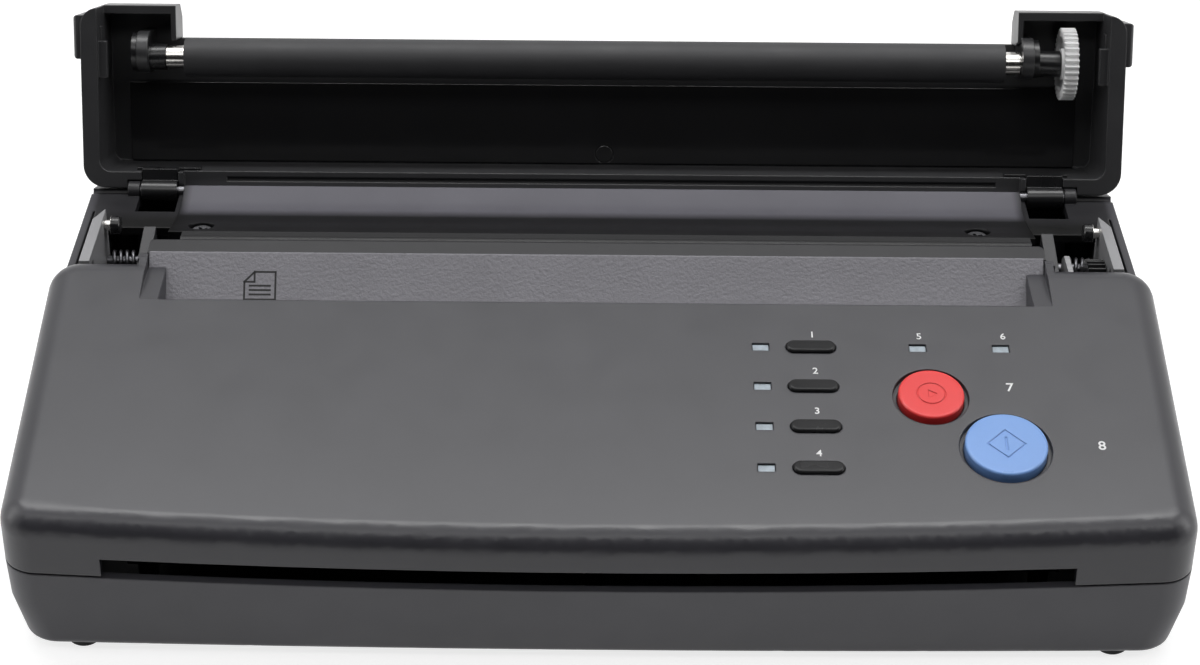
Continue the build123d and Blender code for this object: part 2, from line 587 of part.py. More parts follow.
def rear_cover():
    """Rear moulding with the dished deck, the bays beside it and the hinge seats."""
    plan = outline(REAR_HALF_WIDTH, COVER_REAR - 9, 0, CASE_REAR, 0.5, REAR_CORNER_RADIUS)
    inner = outline(REAR_HALF_WIDTH - WALL, COVER_REAR - 15, 0, CASE_REAR - WALL, 0.5,
                    REAR_CORNER_RADIUS - WALL)
    slope = math.tan(math.radians(LID_LEAN))
    ledge_y = HINGE_Y + 1.2
    ledge_z = HINGE_Z - 0.1
    end = CASE_REAR + 4
    low = CASE_PARTING + PART_GAP

    def under(top, drop):
        return [(-90, low - 30), (end, low - 30), (end, ledge_z - (end - ledge_y) * slope - drop),
                (ledge_y, ledge_z - drop), (ledge_y - 0.6, top - drop), (-90, top - drop)]

    shell = extrude(Pos(0, 0, low) * plan, 40) & prism(under(REAR_RIM, 0), -WIDE, WIDE)
    shell -= extrude(Pos(0, 0, low - 1) * inner, 40) & prism(under(REAR_RIM, WALL), -WIDE, WIDE)
    deck = deck_profile(0)
    shell += prism(deck, -DECK_HALF_WIDTH, DECK_HALF_WIDTH)
    shell -= prism(deck_profile(WALL), -DECK_HALF_WIDTH + WALL, DECK_HALF_WIDTH - WALL)
    plan = outline(CASE_HALF_WIDTH + SEAM, CASE_FRONT, FRONT_BOW, COVER_REAR + SEAM,
                   CORNER_RADIUS, REAR_CORNER_RADIUS + SEAM)
    shell -= extrude(Pos(0, 0, 0) * plan, 100)
    shell -= block(-DECK_HALF_WIDTH - 3, DECK_HALF_WIDTH + 3, COVER_REAR, DECK_FRONT_Y, 30, 80)
    for side in both(side_bay()):
        shell -= side
    for side in both(block(-KNUCKLE_OUT - 0.4, -KNUCKLE_IN + 0.6, HINGE_Y - 11, HINGE_Y + 3.6,
                           HINGE_Z - KNUCKLE_RADIUS - 1, HINGE_Z + 10)):
        shell -= side
    for side in both(hinge_seat()):
        shell += side
    for side in both(rod(PIN_RADIUS, -KNUCKLE_OUT - 20, -KNUCKLE_IN + 4, HINGE_Y, HINGE_Z)):
        shell -= side
    for side in both(block(-BAY_OUTER - 2.3, -BAY_OUTER - 1.7, COVER_REAR, SIDE_SLOT_Y,
                           REAR_RIM - 1.2, REAR_RIM + 1)):
        shell -= side
    for x in DECK_SCREWS:
        shell += post(4.6, x, SCREW_Y, DECK_FRONT_Z - 9, DECK_FRONT_Z - 4.2)
        shell -= post(3.5, x, SCREW_Y, DECK_FRONT_Z - 4.4, 90)
        shell -= post(1.6, x, SCREW_Y, 30, 90)
    for x, y in REAR_POSTS:
        top = REAR_RIM - WALL + 0.5 if y < DECK_RIDGE_Y else REAR_RIM - WALL - 1.8
        pin = post(CASE_POST - 0.5, x, y, CASE_PARTING - 2.7, top)
        shell += pin - post(CASE_SCREW + 0.02, x, y, CASE_PARTING - 4, CASE_PARTING + 8)
    shell -= power_panel_block(SEAM / 2)
    return shell


def deck_profile(drop):
    """Side profile of the deck: a ridge at the hinge, a trough and a rise to the head."""
    points = [(DECK_RIDGE_Y, DECK_RIDGE_Z - drop), (DECK_TROUGH_Y + 4, DECK_TROUGH_Z + 0.35 - drop),
              (DECK_TROUGH_Y, DECK_TROUGH_Z - drop),
              (DECK_TROUGH_Y - 8, DECK_TROUGH_Z + 1.3 - drop),
              (DECK_FRONT_Y + 5, DECK_FRONT_Z - 1.25 - drop),
              (DECK_FRONT_Y - drop, DECK_FRONT_Z - drop * 0.8)]
    low = REAR_RIM - WALL - drop * 2
    return points + [(DECK_FRONT_Y - drop, low), (HINGE_Y + 1, low), (HINGE_Y + 1, REAR_RIM - drop)]


def side_bay():
    """Opening at the left of the deck for the platen end and the latch."""
    return block(-BAY_OUTER, -DECK_HALF_WIDTH, COVER_REAR - 3, BAY_REAR, 30, 90)


def hinge_seat():
    """Boss that carries the outer end of the left hinge pin."""
    x1 = -KNUCKLE_OUT - 0.4
    x0 = x1 - BOSS_LENGTH
    foot = block(x0, x1, HINGE_Y - BOSS_RADIUS, HINGE_Y + 1, HINGE_Z - 4, HINGE_Z)
    return rod(BOSS_RADIUS, x0, x1, HINGE_Y, HINGE_Z) + foot


# ---------------------------------------------------------------- document path pieces
def ramp_line(drop):
    """Side line of the ramp from the tongue down to the nip, lowered square to it by drop."""
    steep = math.tan(math.radians(RAMP_SLOPE))
    knee_y = RAMP_TOP_Y - (RAMP_TOP_Z - RAMP_KNEE_Z) / steep
    line = [(RAMP_TOP_Y, RAMP_TOP_Z), (knee_y, RAMP_KNEE_Z), (RAMP_LOW_Y, RAMP_LOW_Z),
            (RAMP_END_Y, RAMP_END_Z)]
    angles = [math.atan2(a[1] - b[1], a[0] - b[0]) for a, b in zip(line, line[1:])]
    lowered = [(RAMP_TOP_Y, RAMP_TOP_Z - drop / math.cos(angles[0]))]
    for point, first, second in zip(line[1:], angles, angles[1:]):
        middle = (first + second) / 2
        reach = drop / math.cos((first - second) / 2)
        lowered.append((point[0] + reach * math.sin(middle), point[1] - reach * math.cos(middle)))
    lowered.append((RAMP_END_Y, RAMP_END_Z - drop / math.cos(angles[-1])))
    return lowered


def feed_ramp():
    """Grained ramp, steep below the tongue and curved forward to the feed roller."""
    left = PATH_OFFSET - ENTRY_HALF_WIDTH + 0.15
    right = PATH_OFFSET + ENTRY_HALF_WIDTH - 0.15
    return prism(ramp_line(0) + ramp_line(RAMP_THICKNESS)[::-1], left, right)


def guide_z(y):
    """Height of the document guide at a depth."""
    share = (y - PATH_FRONT_Y) / (PATH_REAR_Y - PATH_FRONT_Y)
    return PATH_FRONT_Z + share * (PATH_REAR_Z - PATH_FRONT_Z)


def document_guide():
    """Lower guide plate from the scanner to the exit slot, with its ribs and legs."""
    left = PATH_OFFSET - GUIDE_HALF_WIDTH
    right = PATH_OFFSET + GUIDE_HALF_WIDTH
    profile = [(PATH_REAR_Y, PATH_REAR_Z), (PATH_FRONT_Y, PATH_FRONT_Z),
               (PATH_FRONT_Y, PATH_FRONT_Z - PATH_THICKNESS),
               (PATH_REAR_Y, PATH_REAR_Z - PATH_THICKNESS)]
    guide = prism(profile, left, right)
    for x in (left + 1.2, PATH_OFFSET, right - 1.2):
        for y in (PATH_REAR_Y - 4, PATH_FRONT_Y + 18):
            guide += post(2.5, x, y, FLOOR, guide_z(y) - 0.6)
    return guide


def exit_ribs():
    """Comb of hold-down ribs above the guide, hung under the front cover."""
    left = PATH_OFFSET - GUIDE_HALF_WIDTH
    front = CASE_FRONT + 7.5
    rear = front + 5.9
    bar = prism([(rear - 3, guide_z(rear) + 2.6), (rear, guide_z(rear) + 2.6),
                 (rear, panel_z(rear) - COVER_INNER), (rear - 3, panel_z(rear - 3) - COVER_INNER)],
                left, left + 2 * GUIDE_HALF_WIDTH)
    comb = bar
    pitch = (2 * GUIDE_HALF_WIDTH - RIB_THICKNESS) / (RIB_COUNT - 1)
    for index in range(RIB_COUNT):
        x = left + index * pitch
        comb += prism([(front, guide_z(front) + 1.3), (rear - 1, guide_z(rear - 1) + 1.3),
                       (rear - 1, guide_z(rear) + 6), (front, guide_z(front) + 4.6)], x, x + RIB_THICKNESS)
    return comb


def scan_plane():
    """Plane of the scanner glass, under the feed roller, its normal to the roller."""
    tilt = math.radians(SCAN_TILT)
    normal = (0, -math.sin(tilt), math.cos(tilt))
    reach = ROLLER_RADIUS + 0.2
    origin = (PATH_OFFSET, ROLLER_CENTRE[0] - reach * normal[1], ROLLER_CENTRE[1] - reach * normal[2])
    return Plane(origin=origin, x_dir=(1, 0, 0), z_dir=normal)


def scanner_housing():
    """Contact image sensor bar."""
    width = 2 * GUIDE_HALF_WIDTH - 1
    bar = scan_plane() * (Pos(0, 0, -SCAN_DEPTH / 2 - 0.05) * Box(width, SCAN_LENGTH, SCAN_DEPTH))
    seat = scan_plane() * (Pos(0, 0, 0) * Box(width - 6, SCAN_LENGTH - 3, 2.4))
    return bar - seat


def scanner_glass():
    """Glass strip let into the top of the sensor bar."""
    width = 2 * GUIDE_HALF_WIDTH - 7.4
    return scan_plane() * (Pos(0, 0, -0.6) * Box(width, SCAN_LENGTH - 3.4, 1.15))


def scanner_rests():
    """Two brackets that hold the sensor bar above the floor."""
    rests = []
    for x in (PATH_OFFSET - 0.72 * GUIDE_HALF_WIDTH, PATH_OFFSET + 0.72 * GUIDE_HALF_WIDTH):
        low = scan_plane().origin.Z - SCAN_DEPTH * 1.02 - 1.3
        y = scan_plane().origin.Y + SCAN_DEPTH * math.sin(math.radians(SCAN_TILT))
        rests.append(block(x - 5, x + 5, y - 3, y + 3, FLOOR, low))
    return rests


# ---------------------------------------------------------------- thermal head
def head_frame():
    """U-shaped sheet frame whose two cheeks carry the pivot of the thermal head."""
    seat = REAR_RIM - WALL - 0.6
    cheek = [(CHEEK_FRONT, CHEEK_FRONT_TOP), (CHEEK_FRONT, 38.0), (FRAME_FRONT, 34.0),
             (FRAME_FRONT, FRAME_BOTTOM), (FRAME_REAR, FRAME_BOTTOM), (FRAME_REAR, seat),
             (CHEEK_REAR, seat), (CHEEK_REAR, CHEEK_REAR_TOP)]
    frame = block(CHEEK_LEFT, CHEEK_RIGHT, FRAME_FRONT, FRAME_REAR, FRAME_BOTTOM,
                  FRAME_BOTTOM + FRAME_SHEET)
    for x0 in (CHEEK_LEFT, CHEEK_RIGHT - CHEEK_THICKNESS):
        frame += prism(cheek, x0, x0 + CHEEK_THICKNESS)
    frame -= rod(HEAD_PIN + RUNNING, CHEEK_LEFT - 1, CHEEK_RIGHT + 1, *HEAD_PIVOT)
    frame -= rod(LATCH_ROD_RADIUS + 0.02, CHEEK_LEFT - 1, CHEEK_RIGHT + 1, *LATCH_ROD)
    for x, y in FRAME_POSTS:
        frame -= post(BOARD_SCREW + 0.2, x, y, FRAME_BOTTOM - 1, FRAME_BOTTOM + 3)
    return frame


def head_carrier():
    """Aluminium bar with cooling fins and pivot pins that presses the head upwards."""
    line = [(HEAD_FRONT, HEAD_TOP - 2.2), (HEAD_FRONT, 42.5), (47.5, 39.2), (47.5, 43.2),
            (DECK_FRONT_Y - 0.6, 44.0), (DECK_FRONT_Y - 0.6, HEAD_TOP - 2.2)]
    bar = prism(line, HEAD_LEFT, HEAD_RIGHT)
    pitch = (HEAD_RIGHT - HEAD_LEFT - 6) / (HEAD_FINS - 1)
    for index in range(HEAD_FINS):
        x = HEAD_LEFT + 3 + index * pitch
        bar += block(x - 0.6, x + 0.6, HEAD_FRONT + 1, 40, 36.5, 42.6)
    bar += rod(HEAD_PIN, CHEEK_LEFT + 0.2, HEAD_LEFT + 2, *HEAD_PIVOT)
    bar += rod(HEAD_PIN, HEAD_RIGHT - 2, CHEEK_RIGHT - 0.2, *HEAD_PIVOT)
    bar += tube(HEAD_PIN + 1.6, HEAD_PIN - 0.2, CHEEK_LEFT + CHEEK_THICKNESS + 0.4, HEAD_LEFT + 1,
                *HEAD_PIVOT)
    bar += tube(HEAD_PIN + 1.6, HEAD_PIN - 0.2, HEAD_RIGHT - 1, CHEEK_RIGHT - CHEEK_THICKNESS - 0.4,
                *HEAD_PIVOT)
    return bar


def head_ceramic():
    """Ceramic strip with the raised glaze line of the heating elements."""
    top = HEAD_TOP
    rear = DECK_FRONT_Y - 1.0
    base = block(HEAD_LEFT + 0.3, HEAD_RIGHT - 0.3, HEAD_FRONT + 0.2, rear, top - 2.15, top - 0.3)
    line = rod(1.6, HEAD_LEFT + 0.3, HEAD_RIGHT - 0.3, PLATEN_CENTRE[0], top - 1.6)
    return base + (line & block(-WIDE, WIDE, 0, 60, top - 1.8, top + 1))


def head_springs():
    """Three coil springs that press the head towards the platen."""
    low = FRAME_BOTTOM + FRAME_SHEET
    middle = (HEAD_LEFT + HEAD_RIGHT) / 2
    springs = []
    for x in (middle - HEAD_SPRING_PITCH, middle, middle + HEAD_SPRING_PITCH):
        coil = helix_spring(2.6, 0.45, 1.7, 6.0)
        springs.append(Pos(x, 30.5, low + 0.5) * coil)
    return springs


# ---------------------------------------------------------------- lid
def lid_top(y):
    """Height of the lid's top, drawn shut, at a depth."""
    share = (y - COVER_REAR) / (HINGE_Y - LID_HINGE_GAP - COVER_REAR)
    return LID_TOP_FRONT_Z + share * (LID_TOP_REAR_Z - LID_TOP_FRONT_Z)


def lid_shell():
    """Hollow lid, drawn shut: skin, side and rear walls, two front ears and the notch."""
    rear = HINGE_Y - LID_HINGE_GAP
    front = COVER_REAR + SEAM
    plan = outline(LID_HALF_WIDTH, front, 0, rear, LID_CORNER - 1, LID_CORNER)
    low = HINGE_Z

    def roof(drop, y0, y1, bevel):
        return prism([(y1, low - 5), (y1, lid_top(y1) - drop - 1.3 * bevel),
                      (y1 - bevel, lid_top(y1) - drop), (y0 + bevel, lid_top(y0) - drop),
                      (y0, lid_top(y0) - drop - bevel), (y0, low - 5)], -WIDE, WIDE)

    shell = extrude(Pos(0, 0, low) * plan, 40) & roof(0, front, rear, LID_BEVEL)
    top_edges = [edge for edge in shell.edges() if edge.center().Z > LID_TOP_FRONT_Z - 6
                 and abs(edge.center().X) > LID_HALF_WIDTH - 0.5]
    shell = fillet(top_edges, LID_EDGE_RADIUS)
    inner_rear = rear - LID_REAR_WALL
    inner_half = LID_HALF_WIDTH - LID_SIDE_WALL
    ear_front = front + LID_SKIN
    inside = roof(LID_SKIN, ear_front, inner_rear, 0.5)
    notch_left = NOTCH_OFFSET - NOTCH_HALF_WIDTH
    notch_right = NOTCH_OFFSET + NOTCH_HALF_WIDTH
    cavity = block(-inner_half, inner_half, NOTCH_Y - 0.1, inner_rear, low - 6, 90)
    cavity += block(-inner_half, notch_left - EAR_WALL, ear_front, NOTCH_Y, low - 6, 90)
    cavity += block(notch_right + EAR_WALL, inner_half, ear_front, NOTCH_Y, low - 6, 90)
    cavity = fillet(cavity.edges().filter_by(Axis.Z).group_by(Axis.Y)[-1], 3)
    shell -= cavity & inside
    shell -= block(notch_left, notch_right, front - 5, NOTCH_Y, 0, 90)
    shell -= block(-inner_half, inner_half, front - 5, NOTCH_Y, 0, LID_LIP_Z)
    shell -= block(-DECK_HALF_WIDTH - 0.6, DECK_HALF_WIDTH + 0.6, inner_rear - 1, rear + 1,
                   0, DECK_RIDGE_Z + 0.7)
    shell -= block(GROOVE_LEFT, GROOVE_RIGHT, rear - 2.9, rear - 1.6, 0, DECK_RIDGE_Z + 1.9)
    for side in both(block(-KNUCKLE_OUT - 0.2, -KNUCKLE_IN + 0.2, inner_rear - 1, rear + 1,
                           0, HINGE_Z + KNUCKLE_RADIUS + 0.5)):
        shell -= side
    for side in both(rod(BOSS_RADIUS + 0.35, -KNUCKLE_OUT - BOSS_LENGTH - 0.9, -KNUCKLE_OUT,
                         HINGE_Y, HINGE_Z)):
        shell -= side
    for side in both(rod(PIN_RADIUS + 0.35, -KNUCKLE_IN - 0.5, -DECK_HALF_WIDTH, HINGE_Y, HINGE_Z)):
        shell -= side
    for side in both(lid_ledge()):
        shell += side
    for side in both(pad_recess()):
        shell -= side
    shell -= rod(PLATEN_RADIUS + SLIDING, PLATEN_OFFSET - PLATEN_HALF_LENGTH - SLIDING,
                 notch_right + EAR_WALL + 0.1, *PLATEN_CENTRE)
    for x0 in (HANGER_LEFT, HANGER_RIGHT):
        shell += hanger(x0, x0 + HANGER_THICKNESS)
    return pose_lid(shell)


def lid_ledge():
    """Ledge inside the left wall that the latch nose holds down."""
    wall = -LID_HALF_WIDTH + LID_SIDE_WALL
    return block(wall - 0.5, LEDGE_INNER, *LEDGE_Y, LEDGE_TOP - 2.2, LEDGE_TOP)


def pad_recess():
    """Pocket in the left wall for the release pad and the hole for its stem."""
    wall = -LID_HALF_WIDTH
    gap = SLIDING / 2
    pocket = block(wall - 1, wall + PAD_TRAVEL + 0.1, PAD_Y0 - gap, PAD_Y1 + gap, PAD_Z0 - gap,
                   PAD_Z1 + gap)
    hole = block(wall - 1, wall + LID_SIDE_WALL + 1, PAD_Y0 + STEM_INSET - 0.1,
                 PAD_Y1 - STEM_INSET + 0.1, PAD_Z0 + 0.9, PAD_Z0 + STEM_HEIGHT + 1.1)
    return pocket + hole


def hanger(x0, x1):
    """Web that hangs from the lid and holds a platen bush."""
    y = PLATEN_CENTRE[0] - BUSH_SHIFT
    z = PLATEN_CENTRE[1]
    reach = BUSH_RADIUS + HANGER_RIM
    web = block(x0, x1, y - reach, y + reach, z, LID_TOP_FRONT_Z - LID_SKIN + 0.6)
    shape = web + rod(reach, x0, x1, y, z)
    return shape - rod(BUSH_RADIUS, x0 - 1, x1 + 1, y, z)


def lid_liner():
    """Glossy black sheet under the lid skin, with a small round moulding mark."""
    front = PLATEN_CENTRE[0] + PLATEN_RADIUS + 2.5
    rear = HINGE_Y - LID_HINGE_GAP - LID_REAR_WALL - 0.55
    front_z = lid_top(front) - LID_SKIN - 0.03
    rear_z = lid_top(rear) - LID_SKIN - 0.03
    line = [(front, front_z), (rear, rear_z), (rear, rear_z - LINER), (front, front_z - LINER)]
    half = LID_HALF_WIDTH - LID_SIDE_WALL - LINER_INSET
    sheet = prism(line, -half, half)
    mark_y = HINGE_Y - 8.5
    ring = post(2.7, 0.5, mark_y, 50, 90) - post(2.3, 0.5, mark_y, 49, 91)
    sheet -= ring & prism([(front, 50), (rear, 50), (rear, rear_z - LINER + 0.2),
                           (front, front_z - LINER + 0.2)], -10, 10)
    return pose_lid(sheet)


def hinge_arm():
    """Left hinge barrel with the bridge through the lid's rear wall and the plate inside."""
    x0 = -KNUCKLE_OUT
    x1 = -KNUCKLE_IN
    inner = HINGE_Y - LID_HINGE_GAP - LID_REAR_WALL
    low = HINGE_Z + 0.3
    top = HINGE_Z + KNUCKLE_RADIUS
    arm = rod(KNUCKLE_RADIUS, x0, x1, HINGE_Y, HINGE_Z)
    arm += block(x0, x1, inner - ARM_PLATE, HINGE_Y, low, top)
    arm += block(x0, x1, inner - ARM_PLATE, inner - 0.02, low, DECK_RIDGE_Z + 1.0)
    arm += block(x0 - ARM_PLATE_OUT, x1 + ARM_PLATE_IN, inner - ARM_PLATE, inner - 0.02,
                 DECK_RIDGE_Z + 0.9, DECK_RIDGE_Z + 0.9 + ARM_PLATE_HEIGHT)
    arm -= rod(PIN_RADIUS + RUNNING, x0 - 1, x1 + 1, HINGE_Y, HINGE_Z)
    return pose_lid(arm)


def hinge_pin():
    """Steel hinge pin, fixed in the boss and the deck wall."""
    return rod(PIN_RADIUS, -KNUCKLE_OUT - BOSS_LENGTH, -KNUCKLE_IN + PIN_SEAT, HINGE_Y, HINGE_Z)


def release_pad():
    """Raised pad on the left of the lid; pressed in, it pushes the latch nose free."""
    wall = -LID_HALF_WIDTH
    pad = block(wall - PAD_PROUD, wall - 0.02, PAD_Y0, PAD_Y1, PAD_Z0, PAD_Z1)
    pad = fillet(pad.faces().sort_by(Axis.X)[0].edges(), 1.2)
    stem = block(wall - 0.5, wall + LID_SIDE_WALL + 0.4, PAD_Y0 + STEM_INSET, PAD_Y1 - STEM_INSET,
                 PAD_Z0 + 1.0, PAD_Z0 + 1.0 + STEM_HEIGHT)
    return pad + stem


# ---------------------------------------------------------------- platen
def platen_shaft():
    """Bright shaft with turned-down journals at both ends."""
    left = HANGER_LEFT + HANGER_THICKNESS + COLLAR_LENGTH
    shaft = rod(SHAFT_RADIUS, left + 0.1, HANGER_RIGHT - 0.3, *PLATEN_CENTRE)
    shaft += rod(SHAFT_END_RADIUS, HANGER_LEFT - 1.2, PLATEN_GEAR_OUTER - 0.1, *PLATEN_CENTRE)
    return pose_lid(shaft)


def platen_rubber():
    """Rubber sleeve of the platen."""
    left = PLATEN_OFFSET - PLATEN_HALF_LENGTH
    right = PLATEN_OFFSET + PLATEN_HALF_LENGTH
    sleeve = tube(PLATEN_RADIUS, SHAFT_RADIUS, left, right, *PLATEN_CENTRE)
    return pose_lid(sleeve)


def platen_bush(x0, flange, collar, end):
    """Flanged plain bearing for the shaft, drawn out to a spacer sleeve."""
    y, z = PLATEN_CENTRE
    bush = rod(BUSH_RADIUS - 0.02, x0, x0 + HANGER_THICKNESS, y - BUSH_SHIFT, z)
    bush += rod(FLANGE_RADIUS, flange, flange + FLANGE_THICKNESS, y - BUSH_SHIFT, z)
    bush += rod(COLLAR_RADIUS, collar, end, y, z)
    bush -= rod(SHAFT_END_RADIUS + RUNNING, x0 - 9, end + 9, y, z)
    return pose_lid(bush)


def platen_bushes():
    """Left and right bearing of the platen in the hangers."""
    left_end = HANGER_LEFT + HANGER_THICKNESS
    right_end = HANGER_RIGHT + HANGER_THICKNESS
    gear = PLATEN_GEAR_OUTER - PLATEN_GEAR_WIDTH
    return [platen_bush(HANGER_LEFT, HANGER_LEFT - FLANGE_THICKNESS, left_end - 1,
                        left_end + COLLAR_LENGTH),
            platen_bush(HANGER_RIGHT, right_end, right_end + 1, gear - 0.1)]


def platen_gear():
    """White moulded gear with a recessed web and a hub."""
    x1 = PLATEN_GEAR_OUTER
    x0 = x1 - PLATEN_GEAR_WIDTH
    wheel = gear(PLATEN_TEETH, x0, x1, PLATEN_CENTRE, 0.0, SHAFT_END_RADIUS)
    rim = pitch_radius(PLATEN_TEETH) - 1.8
    wheel -= tube(rim, SHAFT_END_RADIUS + 1.7, x0 - 1, x0 + 1.2, *PLATEN_CENTRE)
    wheel -= tube(rim, SHAFT_END_RADIUS + 1.7, x1 - 1.2, x1 + 1, *PLATEN_CENTRE)
    return pose_lid(wheel)


# ---------------------------------------------------------------- latches
def latch_plate():
    """Latch at the left of the deck: a web with a bevelled bead along its top."""
    inner = LATCH_INNER
    neck = LATCH_NOSE_Z + 0.2
    web = prism([(20, neck), (20, 46), (33, 39.5), (LATCH_TIP_Y - 0.5, 39.5), (LATCH_TIP_Y, 48),
                 (LATCH_TIP_Y, neck)], inner - LATCH_WEB, inner)
    bead = block(inner - LATCH_BEAD, inner, LATCH_FRONT_Y, LATCH_TIP_Y, LATCH_NOSE_Z, LATCH_TOP)
    start = LATCH_TIP_Y - LATCH_BEVEL
    corner = Polyline((inner - LATCH_BEAD - 1, start), (inner - LATCH_BEAD, start),
                      (inner - 0.3, LATCH_TIP_Y), (inner - 0.3, LATCH_TIP_Y + 1),
                      (inner - LATCH_BEAD - 1, LATCH_TIP_Y + 1), close=True)
    bead -= extrude(Pos(0, 0, 30) * make_face(corner), 40)
    plate = web + bead
    return plate - rod(LATCH_ROD_RADIUS + RUNNING, inner - 5, inner + 1, *LATCH_ROD)


def latch_pin():
    """Peg riveted to the latch, with a round knob."""
    start = LATCH_INNER + 0.02
    peg = rod(LATCH_PIN_RADIUS, start, start + LATCH_PIN_LENGTH, *LATCH_PIN)
    knob = rod(LATCH_KNOB_RADIUS, start + LATCH_PIN_LENGTH - 0.1,
               start + LATCH_PIN_LENGTH + LATCH_KNOB_LENGTH, *LATCH_PIN)
    return peg + chamfer(knob.edges().group_by(Axis.X)[-1], 0.3)


def latch_rod():
    """Fixed rod on which the latch slides, from the side wall to the frame cheek."""
    return rod(LATCH_ROD_RADIUS, -REAR_HALF_WIDTH + WALL, CHEEK_LEFT + 0.8, *LATCH_ROD)


def latch_spring():
    """Coil spring round the rod, between the latch and the frame cheek."""
    length = CHEEK_LEFT - LATCH_INNER - 2.2
    coil = helix_spring(2.6, 0.5, 1.7, length).rotate(Axis.Y, 90)
    return Pos(LATCH_INNER + 1.1, *LATCH_ROD) * coil


def latch_rod_right():
    """Rod of the right latch, which reaches the nearer cheek of the frame."""
    return rod(LATCH_ROD_RADIUS, CHEEK_RIGHT - 0.8, REAR_HALF_WIDTH - WALL, *LATCH_ROD)


# ---------------------------------------------------------------- drive
DRIVER_PHASE = mesh_phase(0.0, PLATEN_TEETH, DRIVER_TEETH, PLATEN_CENTRE, DRIVER_CENTRE)
IDLER_PHASE = mesh_phase(DRIVER_PHASE, DRIVER_TEETH, IDLER_TEETH, DRIVER_CENTRE, IDLER_CENTRE)
ROLLER_PHASE = mesh_phase(IDLER_PHASE, IDLER_TEETH, ROLLER_TEETH, IDLER_CENTRE, ROLLER_CENTRE)
PINION_PHASE = mesh_phase(IDLER_PHASE, IDLER_TEETH, PINION_TEETH, IDLER_CENTRE, PINION_CENTRE)


def hub_gear(teeth, centre, phase):
    """Train gear with a hub that spaces it from the side plate."""
    x0 = GEAR_LEFT
    x1 = x0 + TRAIN_WIDTH
    bore = STUD_RADIUS + RUNNING
    hub = tube(bore + 1.3, bore, PLATE_LEFT + PLATE_THICKNESS + 0.3, x0 + 0.5, *centre)
    wheel = gear(teeth, x0, x1, centre, phase, bore) + hub
    return wheel - tube(pitch_radius(teeth) - 1.9, bore + 1.8, x1 - 1.4, x1 + 1, *centre)


def feed_roller_shaft():
    """Steel shaft of the document feed roller."""
    return rod(ROLLER_SHAFT, BRACKET_LEFT - 1.5, GEAR_LEFT + TRAIN_WIDTH + 0.4, *ROLLER_CENTRE)


def feed_roller_rubber():
    """Rubber of the feed roller."""
    left = PATH_OFFSET - GUIDE_HALF_WIDTH + 0.6
    right = PATH_OFFSET + GUIDE_HALF_WIDTH - 0.6
    return tube(ROLLER_RADIUS, ROLLER_SHAFT, left, right, *ROLLER_CENTRE)


def feed_roller_gear():
    """Gear pressed on the right end of the feed roller shaft."""
    x0 = GEAR_LEFT
    return gear(ROLLER_TEETH, x0, x0 + TRAIN_WIDTH, ROLLER_CENTRE, ROLLER_PHASE, ROLLER_SHAFT)


def roller_bushes():
    """Plain bearings of the feed roller in its bracket and in the gear plate."""
    bushes = []
    for x0, flange in ((BRACKET_LEFT, BRACKET_LEFT + PLATE_THICKNESS), (PLATE_LEFT, PLATE_LEFT - 1.0)):
        bush = rod(BEARING_RADIUS - 0.02, x0, x0 + PLATE_THICKNESS, *ROLLER_CENTRE)
        bush += rod(BEARING_RADIUS + BEARING_FLANGE, flange, flange + 1.0, *ROLLER_CENTRE)
        bushes.append(bush - rod(ROLLER_SHAFT + RUNNING, x0 - 9, x0 + 9, *ROLLER_CENTRE))
    return bushes


def roller_bracket():
    """Folded bracket on the floor that holds the left end of the feed roller."""
    y, z = ROLLER_CENTRE
    x0 = BRACKET_LEFT
    wall = [(y - 6.5, FLOOR), (y + 6.5, FLOOR), (y + 6.5, panel_z(y + 6.5) - COVER_INNER - 1.1),
            (y - 6.5, panel_z(y - 6.5) - COVER_INNER - 1.1)]
    bracket = prism(wall, x0, x0 + PLATE_THICKNESS)
    bracket += block(x0 + 0.1, x0 + 13, y - 6.5, y + 6.5, FLOOR, FLOOR + PLATE_THICKNESS)
    return bracket - rod(BEARING_RADIUS, x0 - 1, x0 + 3, y, z)


def gear_side_plate():
    """Folded steel plate that holds the motor, the studs and the feed roller."""
    x0 = PLATE_LEFT
    rear = DECK_FRONT_Y
    line = [(-20, FLOOR), (rear, FLOOR), (rear, 48), (rear - 2.5, 50.5), (COVER_REAR, 50.5),
            (ROLLER_Y + 5, ROLLER_CENTRE[1] + 5.2), (ROLLER_Y - 4, ROLLER_CENTRE[1] + 4.5),
            (-20, ROLLER_CENTRE[1] - 1)]
    plate = prism(line, x0, x0 + PLATE_THICKNESS)
    for y0, y1 in ((-20, -13), (15.5, rear)):
        plate += block(x0 - 8.5, x0 + 0.1, y0, y1, FLOOR, FLOOR + PLATE_THICKNESS)
    plate -= rod(BEARING_RADIUS, x0 - 1, x0 + 3, *ROLLER_CENTRE)
    plate -= rod(3.6, x0 - 1, x0 + 3, *PINION_CENTRE)
    for centre in (IDLER_CENTRE, DRIVER_CENTRE):
        plate -= rod(STUD_RADIUS, x0 - 1, x0 + 3, *centre)
    return plate


def gear_studs():
    """Two fixed studs riveted in the side plate for the idler and the driver."""
    studs = []
    for centre in (IDLER_CENTRE, DRIVER_CENTRE):
        stud = rod(STUD_RADIUS, PLATE_LEFT, GEAR_OUTER, *centre)
        stud += rod(STUD_RADIUS + 0.4, PLATE_LEFT - 0.7, PLATE_LEFT, *centre)
        studs.append(stud)
    return studs


